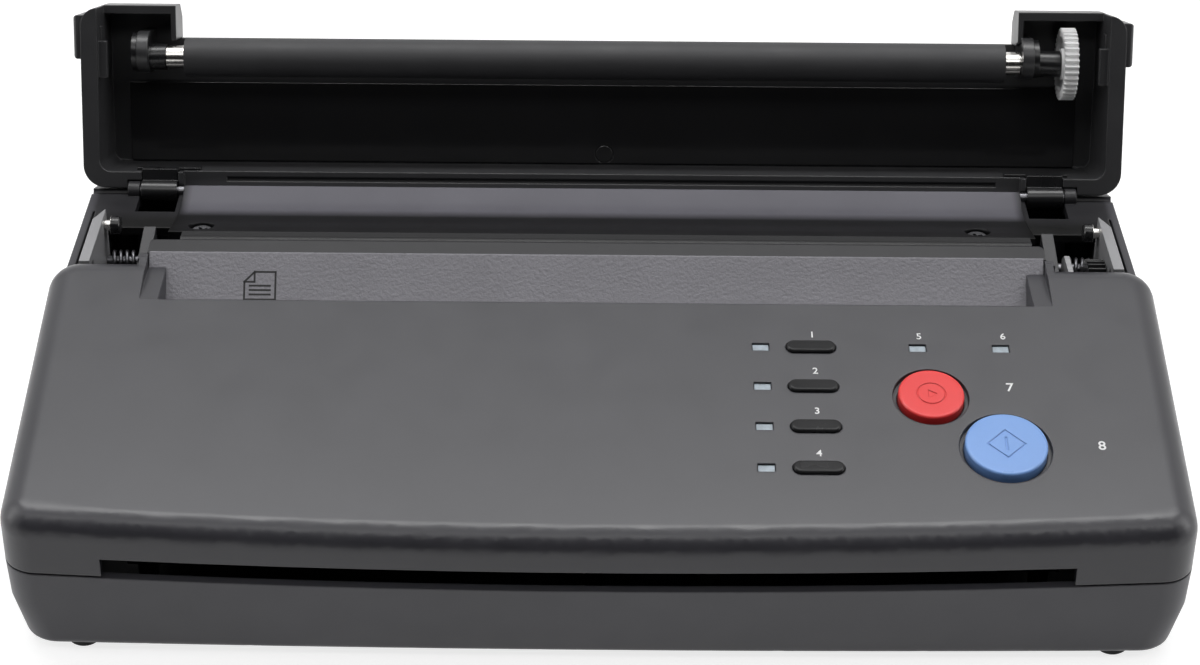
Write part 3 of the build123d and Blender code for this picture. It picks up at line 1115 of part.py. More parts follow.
def drive_motor():
    """Small flat motor screwed to the side plate, hollow for its turning spindle."""
    x1 = PLATE_LEFT
    can = rod(MOTOR_RADIUS, x1 - MOTOR_LENGTH, x1, *PINION_CENTRE)
    can = chamfer(can.edges().group_by(Axis.X)[0], 1.2)
    can += rod(3.5, x1 - 0.5, x1 + PLATE_THICKNESS, *PINION_CENTRE)
    can += block(x1 - MOTOR_LENGTH + 3, x1 - 4, PINION_CENTRE[0] - 4, PINION_CENTRE[0] + 4,
                 PINION_CENTRE[1] - MOTOR_RADIUS - 2, PINION_CENTRE[1] - MOTOR_RADIUS + 2)
    return can - rod(1.0 + RUNNING, x1 - 6, x1 + 9, *PINION_CENTRE)


def motor_pinion():
    """Pinion on the motor spindle."""
    x0 = GEAR_LEFT
    wheel = gear(PINION_TEETH, x0, x0 + TRAIN_WIDTH, PINION_CENTRE, PINION_PHASE, 0.9)
    return wheel + rod(1.0, PLATE_LEFT - 5.5, x0 + TRAIN_WIDTH, *PINION_CENTRE)


# ---------------------------------------------------------------- controls
def round_cap(x, y, radius, proud, mark):
    """Round key: a crowned cup with a retaining flange, a stem and an engraved mark."""
    low = COVER_INNER + 0.1
    cap = extrude(panel_plane(x, y, low + 1.0) * Circle(radius), low + 1.0 + proud)
    cap = fillet(cap.edges().sort_by(Axis.Z)[-1], 0.6)
    cap += extrude(panel_plane(x, y, low + 1.0) * Circle(radius + CAP_GAP + CAP_FLANGE), 1.0)
    cap -= extrude(panel_plane(x, y, low + 2.0) * Circle(radius - 1.7), low + 1.4)
    cap += extrude(panel_plane(x, y, 3.95) * Circle(2.4), 3.95)
    return cap - extrude(panel_plane(x, y, -proud + 0.2) * mark, 1)


def stop_mark():
    """Line circle around a small triangle."""
    ring = Circle(3.6) - Circle(3.25)
    wedge = RegularPolygon(1.5, 3)
    return ring + wedge


def copy_mark():
    """Line diamond around a short upright bar."""
    diamond = Rectangle(6.7, 6.7, rotation=45) - Rectangle(6.0, 6.0, rotation=45)
    return diamond + Rectangle(0.6, 4.4)


def oval_cap(y):
    """Small oval key with a flange and a stem."""
    low = COVER_INNER + 0.1
    size = (OVAL_LENGTH, OVAL_WIDTH)
    grow = 2 * (CAP_GAP + CAP_FLANGE)
    cap = extrude(panel_plane(OVAL_X, y, low + 1.0) * SlotOverall(*size), low + 1.0 + OVAL_PROUD)
    cap = fillet(cap.faces().sort_by(Axis.Z)[-1].edges(), 0.7)
    cap += extrude(panel_plane(OVAL_X, y, low + 1.0)
                   * SlotOverall(size[0] + grow, size[1] + grow), 1.0)
    return cap + extrude(panel_plane(OVAL_X, y, 3.95) * Circle(1.5), 1.5)


def control_board():
    """Circuit board below the panel, screwed to the pillars."""
    place = panel_plane(PANEL_BOARD_X, PANEL_BOARD_Y, BOARD_DROP + BOARD_THICKNESS)
    board = extrude(place * Rectangle(*PANEL_BOARD_SIZE), BOARD_THICKNESS)
    for x, y in PILLARS:
        board -= extrude(panel_plane(x, y, BOARD_DROP + 3) * Circle(BOARD_SCREW + 0.2), 6)
    return board


def key_switches():
    """Push switches on the board, one below every key."""
    spots = [(OVAL_X, y) for y in ROW_YS] + [(STOP_X, STOP_Y), (COPY_X, COPY_Y)]
    switches = []
    for x, y in spots:
        body = extrude(panel_plane(x, y, BOARD_DROP) * Rectangle(5, 5), 1.7)
        switches.append(body + extrude(panel_plane(x, y, BOARD_DROP - 1.6) * Circle(1.6), 0.5))
    return switches


def led_lenses():
    """Light pipes of the lamps, slightly below the panel."""
    lenses = []
    for x, y in LEDS:
        shape = Rectangle(LED_LENGTH - 0.3, LED_WIDTH - 0.3)
        lens = extrude(panel_plane(x, y, BOARD_DROP) * shape, BOARD_DROP - 0.5)
        lenses.append(lens)
    return lenses


# ---------------------------------------------------------------- mains entry and boards
def power_panel():
    """Plate in the rear wall with the housing of the rocker switch."""
    x0, x1, z0, z1 = POWER_PANEL
    inner = CASE_REAR - WALL
    plate = block(x0, x1, inner - 0.7, CASE_REAR, z0, z1)
    plate += block(x0 - 1.8, x1 + 1.8, inner - 2.4, inner - 0.6, z0 + 4, z1 - 0.4)
    plate -= block(INLET_X - 13.6, INLET_X + 13.6, 50, 90, POWER_Z - 9.6, POWER_Z + 9.6)
    plate += block(SWITCH_X - 8.8, SWITCH_X + 8.8, SWITCH_Y - 9, inner, POWER_Z - 12.1,
                   POWER_Z + 12.1)
    plate -= block(SWITCH_X - 7, SWITCH_X + 7, SWITCH_Y - 7.4, 90, POWER_Z - 11, POWER_Z + 11)
    plate -= rod(TRUNNION + RUNNING, SWITCH_X - 7.9, SWITCH_X + 7.9, SWITCH_Y, POWER_Z)
    return plate


def mains_inlet():
    """Three-pin appliance inlet with a flange and a chamfered socket."""
    y1 = CASE_REAR + 1.2
    body = block(INLET_X - 13.5, INLET_X + 13.5, 60, CASE_REAR, POWER_Z - 9.5, POWER_Z + 9.5)
    body += block(INLET_X - 15.5, INLET_X + 15.5, CASE_REAR, y1, POWER_Z - 11.4, POWER_Z + 11.4)
    body = fillet(body.edges().filter_by(Axis.Y).group_by(Axis.Z)[0], 2)
    body = fillet(body.edges().filter_by(Axis.Y).group_by(Axis.Z)[-1], 2)
    mouth = Polyline((-12, -8.1), (12, -8.1), (12, 4.1), (8, 8.1), (-8, 8.1), (-12, 4.1), close=True)
    plane = Plane(origin=(INLET_X, y1 + 1, POWER_Z), x_dir=(1, 0, 0), z_dir=(0, -1, 0))
    body -= extrude(plane * make_face(mouth), 18.2)
    for x, z in inlet_spots():
        body -= block(x - 1.0, x + 1.0, 55, 70, z - 2.0, z + 2.0)
    return body


def inlet_spots():
    """Centres of the three blades."""
    return [(INLET_X - 7, POWER_Z - 2), (INLET_X, POWER_Z + 2), (INLET_X + 7, POWER_Z - 2)]


def inlet_pins():
    """Blades of the inlet, with solder tails behind the body."""
    pins = []
    for x, z in inlet_spots():
        pins.append(block(x - 1.0, x + 1.0, 54, CASE_REAR - 3.5, z - 2.0, z + 2.0))
    return pins


def mains_rocker():
    """Rocker of the mains switch, on two trunnions."""
    line = [(5.4, 10.0), (3.2, 0.0), (5.4, -10.0), (-1.0, -9.0), (-2.6, 0.0), (-1.0, 9.0)]
    tilt = math.radians(8)
    points = []
    for v, w in line:
        points.append((SWITCH_Y + v * math.cos(tilt) - w * math.sin(tilt),
                       POWER_Z + v * math.sin(tilt) + w * math.cos(tilt)))
    rocker = prism(points, SWITCH_X - 6.7, SWITCH_X + 6.7)
    return rocker + rod(TRUNNION, SWITCH_X - 7.7, SWITCH_X + 7.7, SWITCH_Y, POWER_Z)


def board_corners(board):
    """Screw positions of a board."""
    x0, x1, y0, y1 = board[:4]
    return [(x, y) for x in (x0 + 4, x1 - 4) for y in (y0 + 4, y1 - 4)]


def circuit_board(board):
    """Flat board with its four screw holes."""
    x0, x1, y0, y1, under = board
    shape = block(x0, x1, y0, y1, under, under + BOARD_THICKNESS)
    for x, y in board_corners(board):
        shape -= post(BOARD_SCREW + 0.2, x, y, under - 1, under + 3)
    return shape


def main_board_parts():
    """Controller, memory, driver chips and connectors of the main board."""
    x0 = MAIN_BOARD[0]
    top = MAIN_BOARD[4] + BOARD_THICKNESS
    parts = [block(x0 + 8, x0 + 30, 30, 50, top, top + 2.2), block(x0 + 38, x0 + 52, 36, 46, top, top + 1.8),
             block(x0 + 60, x0 + 70, 28, 48, top, top + 2.0), block(x0 + 9, x0 + 25, 55, 60, top, top + 6),
             block(x0 + 36, x0 + 66, 55, 60, top, top + 6), block(x0 + 78, x0 + 88, 30, 40, top, top + 3)]
    return parts + [post(2.5, x0 + x, 23, top, top + 8) for x in (12, 22, 32, 56)]


def power_board_parts():
    """Transformer, reservoir capacitors, fuse and heat sink of the power supply."""
    x0 = POWER_BOARD[0]
    top = POWER_BOARD[4] + BOARD_THICKNESS
    core = block(x0 + 15, x0 + 44, 22, 46, top, top + 14)
    core += block(x0 + 19, x0 + 40, 18.5, 49.5, top + 3, top + 11)
    parts = [core, block(x0 + 56, x0 + 59, 22, 45, top, top + 14),
             block(x0 + 5, x0 + 10, 22, 42, top, top + 5)]
    return parts + [post(4.5, x0 + 50, y, top, top + 13) for y in (21.5, 32.0, 42.5)]


# ---------------------------------------------------------------- feet and screws
def screw(radius, length, head_radius, head_height):
    """Cross-recessed screw, its head above the XY plane and its shank below."""
    head = extrude(Circle(head_radius), head_height)
    head = fillet(head.edges().sort_by(Axis.Z)[-1], head_height * 0.35)
    shape = head + extrude(Circle(radius), -length)
    for turn in (0, 90):
        slot = extrude(Rectangle(head_radius * 1.1, head_radius * 0.28, rotation=turn + 30), head_height)
        shape -= Pos(0, 0, head_height * 0.4) * slot
    return shape


def case_screws():
    """Screws from below through the lower case into the cover posts."""
    shape = screw(CASE_SCREW, CASE_PARTING + 3 - FLOOR, CASE_SCREW_HEAD, 1.5)
    turned = shape.rotate(Axis.X, 180)
    return [Pos(x, y, FLOOR + 0.4) * turned for x, y in CASE_SCREWS]


def deck_screws():
    """Two screws in the counterbores of the deck."""
    shape = screw(DECK_SCREW, 4.4, 3.0, 1.6)
    return [Pos(x, SCREW_Y, DECK_FRONT_Z - 4.4) * shape for x in DECK_SCREWS]


def board_screws():
    """Small screws of the boards and of the head frame."""
    shape = screw(BOARD_SCREW - 0.02, 5.0, BOARD_SCREW_HEAD, HEAD_HEIGHT)
    screws = [Pos(x, y, FRAME_BOTTOM + FRAME_SHEET) * shape for x, y in FRAME_POSTS]
    for board in (MAIN_BOARD, POWER_BOARD):
        for x, y in board_corners(board):
            screws.append(Pos(x, y, board[4] + BOARD_THICKNESS) * shape)
    turned = shape.rotate(Axis.X, 180)
    for x, y in PILLARS:
        screws.append(panel_plane(x, y, BOARD_DROP + BOARD_THICKNESS) * turned)
    return screws


def feet():
    """Rubber feet let into the lower case."""
    pads = []
    for x, y in FEET:
        pad = post(FOOT_RADIUS, x, y, 0, CASE_BOTTOM + FOOT_SEAT)
        pads.append(chamfer(pad.edges().group_by(Axis.Z)[0], 0.5))
    return pads


# ---------------------------------------------------------------- nodes
def nodes():
    """Every node of the machine by name."""
    return {
        "lower_case": lower_case(),
        "front_cover": front_cover(),
        "rear_cover": rear_cover(),
        "feed_ramp": feed_ramp(),
        "document_guide": document_guide(),
        "feed_roller_shaft": feed_roller_shaft(),
        "feed_roller_rubber": feed_roller_rubber(),
        "feed_roller_gear": feed_roller_gear(),
        "roller_bushes": roller_bushes(),
        "roller_bracket": roller_bracket(),
        "gear_side_plate": gear_side_plate(),
        "gear_studs": gear_studs(),
        "drive_motor": drive_motor(),
        "motor_pinion": motor_pinion(),
        "driver_gear": hub_gear(DRIVER_TEETH, DRIVER_CENTRE, DRIVER_PHASE),
        "idler_gear": hub_gear(IDLER_TEETH, IDLER_CENTRE, IDLER_PHASE),
        "scanner_bar": scanner_housing(),
        "scanner_glass": scanner_glass(),
        "head_frame": head_frame(),
        "head_carrier": head_carrier(),
        "head_ceramic": head_ceramic(),
        "head_springs": head_springs(),
        "lid_shell": lid_shell(),
        "lid_liner": lid_liner(),
        "hinge_arm_left": hinge_arm(),
        "hinge_arm_right": mirrored(hinge_arm()),
        "hinge_pins": both(hinge_pin()),
        "release_pad_left": pose_lid(release_pad()),
        "release_pad_right": pose_lid(mirrored(release_pad())),
        "platen_shaft": platen_shaft(),
        "platen_rubber": platen_rubber(),
        "platen_gear": platen_gear(),
        "platen_bushes": platen_bushes(),
        "latch_left": latch_plate(),
        "latch_right": mirrored(latch_plate()),
        "latch_peg_left": latch_pin(),
        "latch_peg_right": mirrored(latch_pin()),
        "latch_rods": [latch_rod(), latch_rod_right()],
        "latch_springs": both(latch_spring()),
        "power_panel": power_panel(),
        "mains_inlet": mains_inlet(),
        "inlet_pins": inlet_pins(),
        "mains_rocker": mains_rocker(),
        "main_board": circuit_board(MAIN_BOARD),
        "main_board_parts": main_board_parts(),
        "power_board": circuit_board(POWER_BOARD),
        "power_board_parts": power_board_parts(),
        "control_board": control_board(),
        "key_switches": key_switches(),
        "led_lenses": led_lenses(),
        "stop_button": round_cap(STOP_X, STOP_Y, STOP_RADIUS, STOP_PROUD, stop_mark()),
        "copy_button": round_cap(COPY_X, COPY_Y, COPY_RADIUS, COPY_PROUD, copy_mark()),
        "oval_button_1": oval_cap(ROW_YS[0]),
        "oval_button_2": oval_cap(ROW_YS[1]),
        "oval_button_3": oval_cap(ROW_YS[2]),
        "oval_button_4": oval_cap(ROW_YS[3]),
        "feet": feet(),
        "case_screws": case_screws(),
        "deck_screws": deck_screws(),
        "board_screws": board_screws(),
    }


def solids_of(shape):
    """All solids of a shape or of a list of shapes."""
    if isinstance(shape, list):
        return [solid for item in shape for solid in item.solids()]
    return list(shape.solids())


def main():
    """Writes one STEP file for every node."""
    os.makedirs("parts", exist_ok=True)
    for name, shape in nodes().items():
        solids = solids_of(shape)
        result = solids[0] if len(solids) == 1 else Compound(solids)
        result = Pos(0, -ORIGIN_Y, 0) * result
        export_step(result, f"parts/{name}.step")


if __name__ == "__main__":
    main()
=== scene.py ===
"""Looks of a desktop thermal stencil copier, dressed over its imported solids.

The solids carry the construction; this file gives each of them its finish, adds the
fine pieces that only show, and sets up the studio.
"""

import json
import logging
import math
from dataclasses import dataclass, field
from enum import Enum
from typing import Any

import bpy
import numpy as np
from mathutils import Matrix, Vector


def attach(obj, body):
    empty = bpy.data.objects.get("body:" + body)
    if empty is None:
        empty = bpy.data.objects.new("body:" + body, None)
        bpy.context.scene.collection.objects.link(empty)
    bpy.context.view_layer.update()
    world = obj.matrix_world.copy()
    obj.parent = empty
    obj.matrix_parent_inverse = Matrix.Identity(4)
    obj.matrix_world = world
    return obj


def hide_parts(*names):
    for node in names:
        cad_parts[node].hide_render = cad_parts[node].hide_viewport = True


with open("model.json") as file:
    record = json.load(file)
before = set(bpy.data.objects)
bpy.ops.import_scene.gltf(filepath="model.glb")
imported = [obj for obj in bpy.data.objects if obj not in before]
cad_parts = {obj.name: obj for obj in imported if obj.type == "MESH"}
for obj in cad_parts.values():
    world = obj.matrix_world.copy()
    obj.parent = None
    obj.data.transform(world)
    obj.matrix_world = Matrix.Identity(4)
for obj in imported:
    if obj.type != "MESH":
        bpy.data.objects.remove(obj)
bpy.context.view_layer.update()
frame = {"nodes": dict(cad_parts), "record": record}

LOG = logging.getLogger("copier")
MM = 0.001
ORIGIN_Y = 11.62          # the frame's origin lies this far behind the middle of the case
PANEL_SLOPE = math.radians(13.0)
PANEL_REAR = (14.5, 60.2)  # a point of the panel plane, depth and height
RAMP_SLOPE = math.radians(50.0)
RAMP_TOP = (14.8, 59.2)    # top edge of the ramp, depth and height
MERGE_GRID = 1e7           # tenths of a micrometre in a metre
NOISE_BAND = (0.3, 0.7)    # most of a noise lies between these values
BEVEL_SAMPLES = 6
TYPE_WEIGHT = 0.012        # how far the figures are thickened, as a share of their height

Colour = tuple[float, float, float]


# ---------------------------------------------------------------- places
def case_point(x: float, y: float, z: float) -> Vector:
    """A point in case millimetres as a point of the frame in metres."""
    return Vector((x * MM, (y - ORIGIN_Y) * MM, z * MM))


def panel_height(y: float) -> float:
    """Height of the key panel's plane at a depth, both in case millimetres."""
    return PANEL_REAR[1] - (PANEL_REAR[0] - y) * math.tan(PANEL_SLOPE)


def panel_matrix(x: float, y: float, lift: float = 0.0) -> Matrix:
    """Placement on the key panel: X to the right, Y up the slope, Z out of it.

    Args:
        x: Sideways place in case millimetres.
        y: Depth in case millimetres.
        lift: Height above the panel in millimetres.

    Returns:
        The matrix from metres on the panel to the frame.
    """
    slope = PANEL_SLOPE
    normal = Vector((0, -math.sin(slope), math.cos(slope)))
    along = Vector((0, math.cos(slope), math.sin(slope)))
    place = case_point(x, y, panel_height(y)) + normal * lift * MM
    matrix = Matrix((Vector((1, 0, 0)), along, normal)).transposed().to_4x4()
    matrix.translation = place
    return matrix


# ---------------------------------------------------------------- shader expressions
class Sock:
    """A shader socket that builds Math nodes when it is used in an expression."""

    def __init__(self, shader: "Shader", link: Any) -> None:
        """Keeps the socket with the shader it belongs to."""
        self.shader = shader
        self.link = link

    def _math(self, operation: str, first: Any, second: Any) -> "Sock":
        """A Math node of two values."""
        return self.shader.node("ShaderNodeMath", {"operation": operation}, {0: first, 1: second})

    def __add__(self, other: Any) -> "Sock":
        """Sum."""
        return self._math("ADD", self, other)

    def __sub__(self, other: Any) -> "Sock":
        """Difference."""
        return self._math("SUBTRACT", self, other)

    def __mul__(self, other: Any) -> "Sock":
        """Product."""
        return self._math("MULTIPLY", self, other)


class Shader:
    """A material under construction, with its Principled shader."""

    def __init__(self, name: str) -> None:
        """Makes an empty node material with that name."""
        self.material = bpy.data.materials.new(name)
        self.material.use_nodes = True
        self.tree = self.material.node_tree
        self.tree.nodes.clear()
        output = self.tree.nodes.new("ShaderNodeOutputMaterial")
        self.principled = self.tree.nodes.new("ShaderNodeBsdfPrincipled")
        self.tree.links.new(self.principled.outputs[0], output.inputs[0])

    def node(self, kind: str, settings: dict[str, Any], inputs: dict[Any, Any],
             output: Any = 0) -> Sock:
        """Any node, with its settings first and then its sockets.

        Args:
            kind: The node's type name.
            settings: Attributes of the node.
            inputs: Socket name or index to a value, a Sock or a colour.
            output: Name or index of the socket that is returned.

        Returns:
            The output socket.
        """
        made = self.tree.nodes.new(kind)
        for key, value in settings.items():
            setattr(made, key, value)
        for key, value in inputs.items():
            self.feed(made.inputs[key], value)
        return Sock(self, made.outputs[output])

    def feed(self, socket: Any, value: Any) -> None:
        """Sets a socket to a value, or links a Sock to it."""
        if isinstance(value, Sock):
            self.tree.links.new(value.link, socket)
        elif isinstance(value, tuple) and len(value) == 3 and socket.type == "RGBA":
            socket.default_value = (*value, 1.0)
        else:
            socket.default_value = value

    def surface(self, **values: Any) -> None:
        """Feeds the Principled shader; underscores stand for spaces."""
        for key, value in values.items():
            self.feed(self.principled.inputs[key.replace("_", " ")], value)

    def place(self) -> Sock:
        """The surface point in object coordinates."""
        return self.node("ShaderNodeTexCoord", {}, {}, "Object")

    def axis(self, name: str) -> Sock:
        """One object coordinate of the surface point."""
        return self.node("ShaderNodeSeparateXYZ", {}, {0: self.place()}, name)

    def reach(self) -> Sock:
        """Distance of the surface point from the middle, sideways."""
        return self.node("ShaderNodeMath", {"operation": "ABSOLUTE"}, {0: self.axis("X")})

    def scaled(self, colour: Colour, share: Sock) -> Sock:
        """A colour times a varying share."""
        return self.node("ShaderNodeVectorMath", {"operation": "SCALE"},
                         {0: colour, "Scale": share}, "Vector")

    def stretched(self, scale: tuple[float, float, float]) -> Sock:
        """The surface point with each coordinate times its own scale."""
        return self.node("ShaderNodeVectorMath", {"operation": "MULTIPLY"},
                         {0: self.place(), 1: scale}, "Vector")

    def noise(self, scale: float, detail: float = 2.0, roughness: float = 0.5) -> Sock:
        """Noise value over the surface at a scale per metre."""
        return self.node("ShaderNodeTexNoise", {}, {"Vector": self.place(), "Scale": scale,
                                                    "Detail": detail, "Roughness": roughness})

    def ramp(self, value: Sock, low: float, high: float, start: float = NOISE_BAND[0],
             end: float = NOISE_BAND[1]) -> Sock:
        """Maps start..end of a value to low..high, held at both ends."""
        return self.node("ShaderNodeMapRange", {"clamp": True},
                         {"Value": value, "From Min": start, "From Max": end, "To Min": low,
                          "To Max": high})

    def blend(self, factor: Any, first: Any, second: Any) -> Sock:
        """Mixes two colours."""
        return self.node("ShaderNodeMix", {"data_type": "RGBA"},
                         {"Factor": factor, 6: first, 7: second}, 2)

    def bump(self, height: Sock, strength: float, distance: float, normal: Any = None) -> Sock:
        """Normal bent by a height, distance in metres."""
        inputs = {"Height": height, "Strength": strength, "Distance": distance}
        if normal is not None:
            inputs["Normal"] = normal
        return self.node("ShaderNodeBump", {}, inputs)

    def round_edges(self, radius: float) -> Sock:
        """Normal that rounds the sharp edges of a moulding, radius in metres."""
        return self.node("ShaderNodeBevel", {"samples": BEVEL_SAMPLES}, {"Radius": radius})


def tint(colour: Colour, share: float) -> Colour:
    """The colour scaled by a share."""
    return tuple(channel * share for channel in colour)


# ---------------------------------------------------------------- finishes
class Grain(Enum):
    """Texture of a mould: spark-eroded, fine satin, or polished.

    Each value holds the bump's scale per metre, detail, roughness, strength and depth in
    metres, and the share of speckle in the colour.
    """

    COARSE = (1100.0, 3.0, 0.6, 0.8, 0.00030, 0.30)
    FINE = (2600.0, 2.0, 0.5, 0.16, 0.00005, 0.05)
    POLISHED = (26.0, 1.0, 0.5, 0.05, 0.0004, 0.05)


@dataclass(frozen=True)
class Plastic:
    """Moulded plastic with flow mottling, mould grain, and worn, rounded edges."""

    name: str
    colour: Colour
    roughness: float = 0.45
    grain: Grain = Grain.FINE
    edge: float = 0.35
    mottle: float = 0.06
    specular: float = 0.5

    def shade(self, shader: Shader, share: Sock) -> Sock:
        """Share of the colour at a point; a plain moulding keeps the share it gets."""
        return share

    def build(self) -> bpy.types.Material:
        """The finished material."""
        shader = Shader(self.name)
        scale, detail, uneven, strength, depth, speckle = self.grain.value
        cloud = shader.noise(38.0, 3.0)
        speck = shader.noise(2300.0)
        share = shader.ramp(cloud, 1.0 - self.mottle, 1.0 + self.mottle)
        share = self.shade(shader, share + (speck - 0.5) * speckle)
        rough = shader.ramp(shader.noise(120.0, 4.0), self.roughness - 0.03,
                            self.roughness + 0.04)
        normal = shader.bump(shader.noise(scale, detail, uneven), strength, depth,
                             shader.round_edges(self.edge * MM))
        shader.surface(Base_Color=shader.scaled(self.colour, share), Roughness=rough,
                       Specular_IOR_Level=self.specular, Normal=normal)
        return shader.material


@dataclass(frozen=True)
class CoverPlastic(Plastic):
    """Front cover: its narrow tongue behind the ramp gets painted shade, a darker colour than the
    panel.
    """

    # painted shade: share of the colour left on the tongue behind the ramp
    tongue_shade: float = 0.35
    tongue_edge: tuple[float, float] = (2.9 * MM, 3.5 * MM)

    def shade(self, shader: Shader, share: Sock) -> Sock:
        """Darkens the colour behind the ramp's top edge as painted shade."""
        # painted shade: the share drops behind the ramp's top edge
        return share * shader.ramp(shader.axis("Y"), 1.0, self.tongue_shade, *self.tongue_edge)


@dataclass(frozen=True)
class DeckPlastic(Plastic):
    """Rear cover with painted light and shade on its top: a pale deck in painted light, a dark ridge
    in front of it and dark bays at both ends in painted shade.
    """

    # shares of the colour: painted shade on the ridge, painted light on the deck, painted shade in
    # the bays
    ridge_shade: float = 0.10
    deck_light: float = 2.5
    bay_shade: float = 0.12
    ridge_edge: tuple[float, float] = (37.5 * MM, 42.5 * MM)
    bay_edge: tuple[float, float] = (112.5 * MM, 115.0 * MM)
    rear_edge: tuple[float, float] = (55.5 * MM, 57.5 * MM)
    side_edge: tuple[float, float] = (138.0 * MM, 139.5 * MM)

    def shade(self, shader: Shader, share: Sock) -> Sock:
        """Paints light and shade on the top of the cover only; its sides and back keep the plain
        colour.
        """
        depth = shader.axis("Y")
        reach = shader.reach()
        # painted light on the deck, painted shade on the ridge in front of it and in the bays at
        # both ends
        light_and_shade = shader.ramp(depth, self.ridge_shade, self.deck_light, *self.ridge_edge)
        light_and_shade = light_and_shade * shader.ramp(reach, 1.0, self.bay_shade, *self.bay_edge)
        top = shader.ramp(depth, 1.0, 0.0, *self.rear_edge)
        top = top * shader.ramp(reach, 1.0, 0.0, *self.side_edge)
        return share * ((light_and_shade - 1.0) * top + 1.0)


@dataclass(frozen=True)
class Metal:
    """Bare or plated metal with fine turning or rolling marks along X."""

    name: str
    colour: Colour
    roughness: float = 0.25
    marks: float = 0.06
    turned: bool = False
    edge: float = 0.15

    def build(self) -> bpy.types.Material:
        """The finished material."""
        shader = Shader(self.name)
        stretch = (3000.0, 40.0, 40.0) if self.turned else (60.0, 1800.0, 1800.0)
        point = shader.stretched(stretch)
        line = shader.node("ShaderNodeTexNoise", {}, {"Vector": point, "Scale": 1.0, "Detail": 3.0})
        base = shader.scaled(self.colour, shader.ramp(line, 0.9, 1.06))
        rough = shader.ramp(line, self.roughness, self.roughness + self.marks * 2)
        normal = shader.bump(line, self.marks, 0.00004, shader.round_edges(self.edge * MM))
        shader.surface(Base_Color=base, Metallic=1.0, Roughness=rough, Normal=normal)
        return shader.material


@dataclass(frozen=True)
class PegSteel:
    """Turned steel peg whose inner end is a dark knob, split by its sideways place."""

    name: str
    colour: Colour = (0.78, 0.76, 0.73)
    knob: Colour = (0.012, 0.012, 0.013)
    split: float = 130.9 * MM
    blur: float = 0.02 * MM

    def build(self) -> bpy.types.Material:
        """The finished material."""
        shader = Shader(self.name)
        steel = shader.ramp(shader.reach(), 0.0, 1.0, self.split - self.blur, self.split + self.blur)
        rough = shader.ramp(shader.noise(900.0), 0.2, 0.32)
        shader.surface(Base_Color=shader.blend(steel, self.knob, self.colour), Metallic=steel,
                       Roughness=rough, Normal=shader.round_edges(0.15 * MM))
        return shader.material


@dataclass(frozen=True)
class Rubber:
    """Ground rubber with a dusty, slightly uneven surface."""

    name: str
    colour: Colour
    roughness: float = 0.7

    def build(self) -> bpy.types.Material:
        """The finished material."""
        shader = Shader(self.name)
        dust = shader.noise(70.0, 5.0, 0.6)
        base = shader.blend(shader.ramp(dust, 0.0, 0.5, 0.45, 0.75), self.colour,
                            tint(self.colour, 1.5))
        fine = shader.noise(2400.0)
        normal = shader.bump(fine, 0.25, 0.00006, shader.round_edges(0.2 * MM))
        rough = shader.ramp(dust, self.roughness - 0.08, self.roughness + 0.06)
        shader.surface(Base_Color=base, Roughness=rough, Normal=normal)
        return shader.material


@dataclass(frozen=True)
class Ink:
    """Screen-printed ink."""

    name: str
    colour: Colour

    def build(self) -> bpy.types.Material:
        """The finished material."""
        shader = Shader(self.name)
        worn = shader.noise(1500.0)
        base = shader.blend(shader.ramp(worn, 0.0, 0.25, 0.4, 0.7), self.colour,
                            tint(self.colour, 0.8))
        shader.surface(Base_Color=base, Roughness=0.5)
        return shader.material


@dataclass(frozen=True)
class Lens:
    """Frosted lens of a lamp, with an uneven haze."""

    name: str
    colour: Colour

    def build(self) -> bpy.types.Material:
        """The finished material."""
        shader = Shader(self.name)
        haze = shader.noise(600.0, 3.0)
        base = shader.blend(shader.ramp(haze, 0.0, 1.0, 0.35, 0.65), tint(self.colour, 0.85),
                            tint(self.colour, 1.12))
        shader.surface(Base_Color=base, Roughness=0.3, Coat_Weight=0.4,
                       Normal=shader.round_edges(0.2 * MM))
        return shader.material


@dataclass(frozen=True)
class Glass:
    """Clear glass strip with a faint green edge."""

    name: str

    def build(self) -> bpy.types.Material:
        """The finished material."""
        shader = Shader(self.name)
        streak = shader.noise(90.0)
        rough = shader.ramp(streak, 0.03, 0.08)
        base = shader.blend(streak, (0.80, 0.92, 0.88), (0.9, 0.97, 0.95))
        shader.surface(Base_Color=base, Roughness=rough, Transmission_Weight=0.9, IOR=1.5)
        return shader.material


@dataclass(frozen=True)
class Board:
    """Circuit board lacquer over faint copper tracks."""

    name: str
    colour: Colour = (0.015, 0.12, 0.05)

    def build(self) -> bpy.types.Material:
        """The finished material."""
        shader = Shader(self.name)
        point = shader.stretched((900.0, 220.0, 1.0))
        track = shader.node("ShaderNodeTexVoronoi", {"distance": "CHEBYCHEV"},
                            {"Vector": point, "Scale": 0.35})
        mask = shader.ramp(track, 0.0, 1.0, 0.25, 0.35)
        base = shader.blend(mask, tint(self.colour, 1.9), self.colour)
        shader.surface(Base_Color=base, Roughness=0.35, Coat_Weight=0.3,
                       Normal=shader.bump(mask, 0.1, 0.00004))
        return shader.material


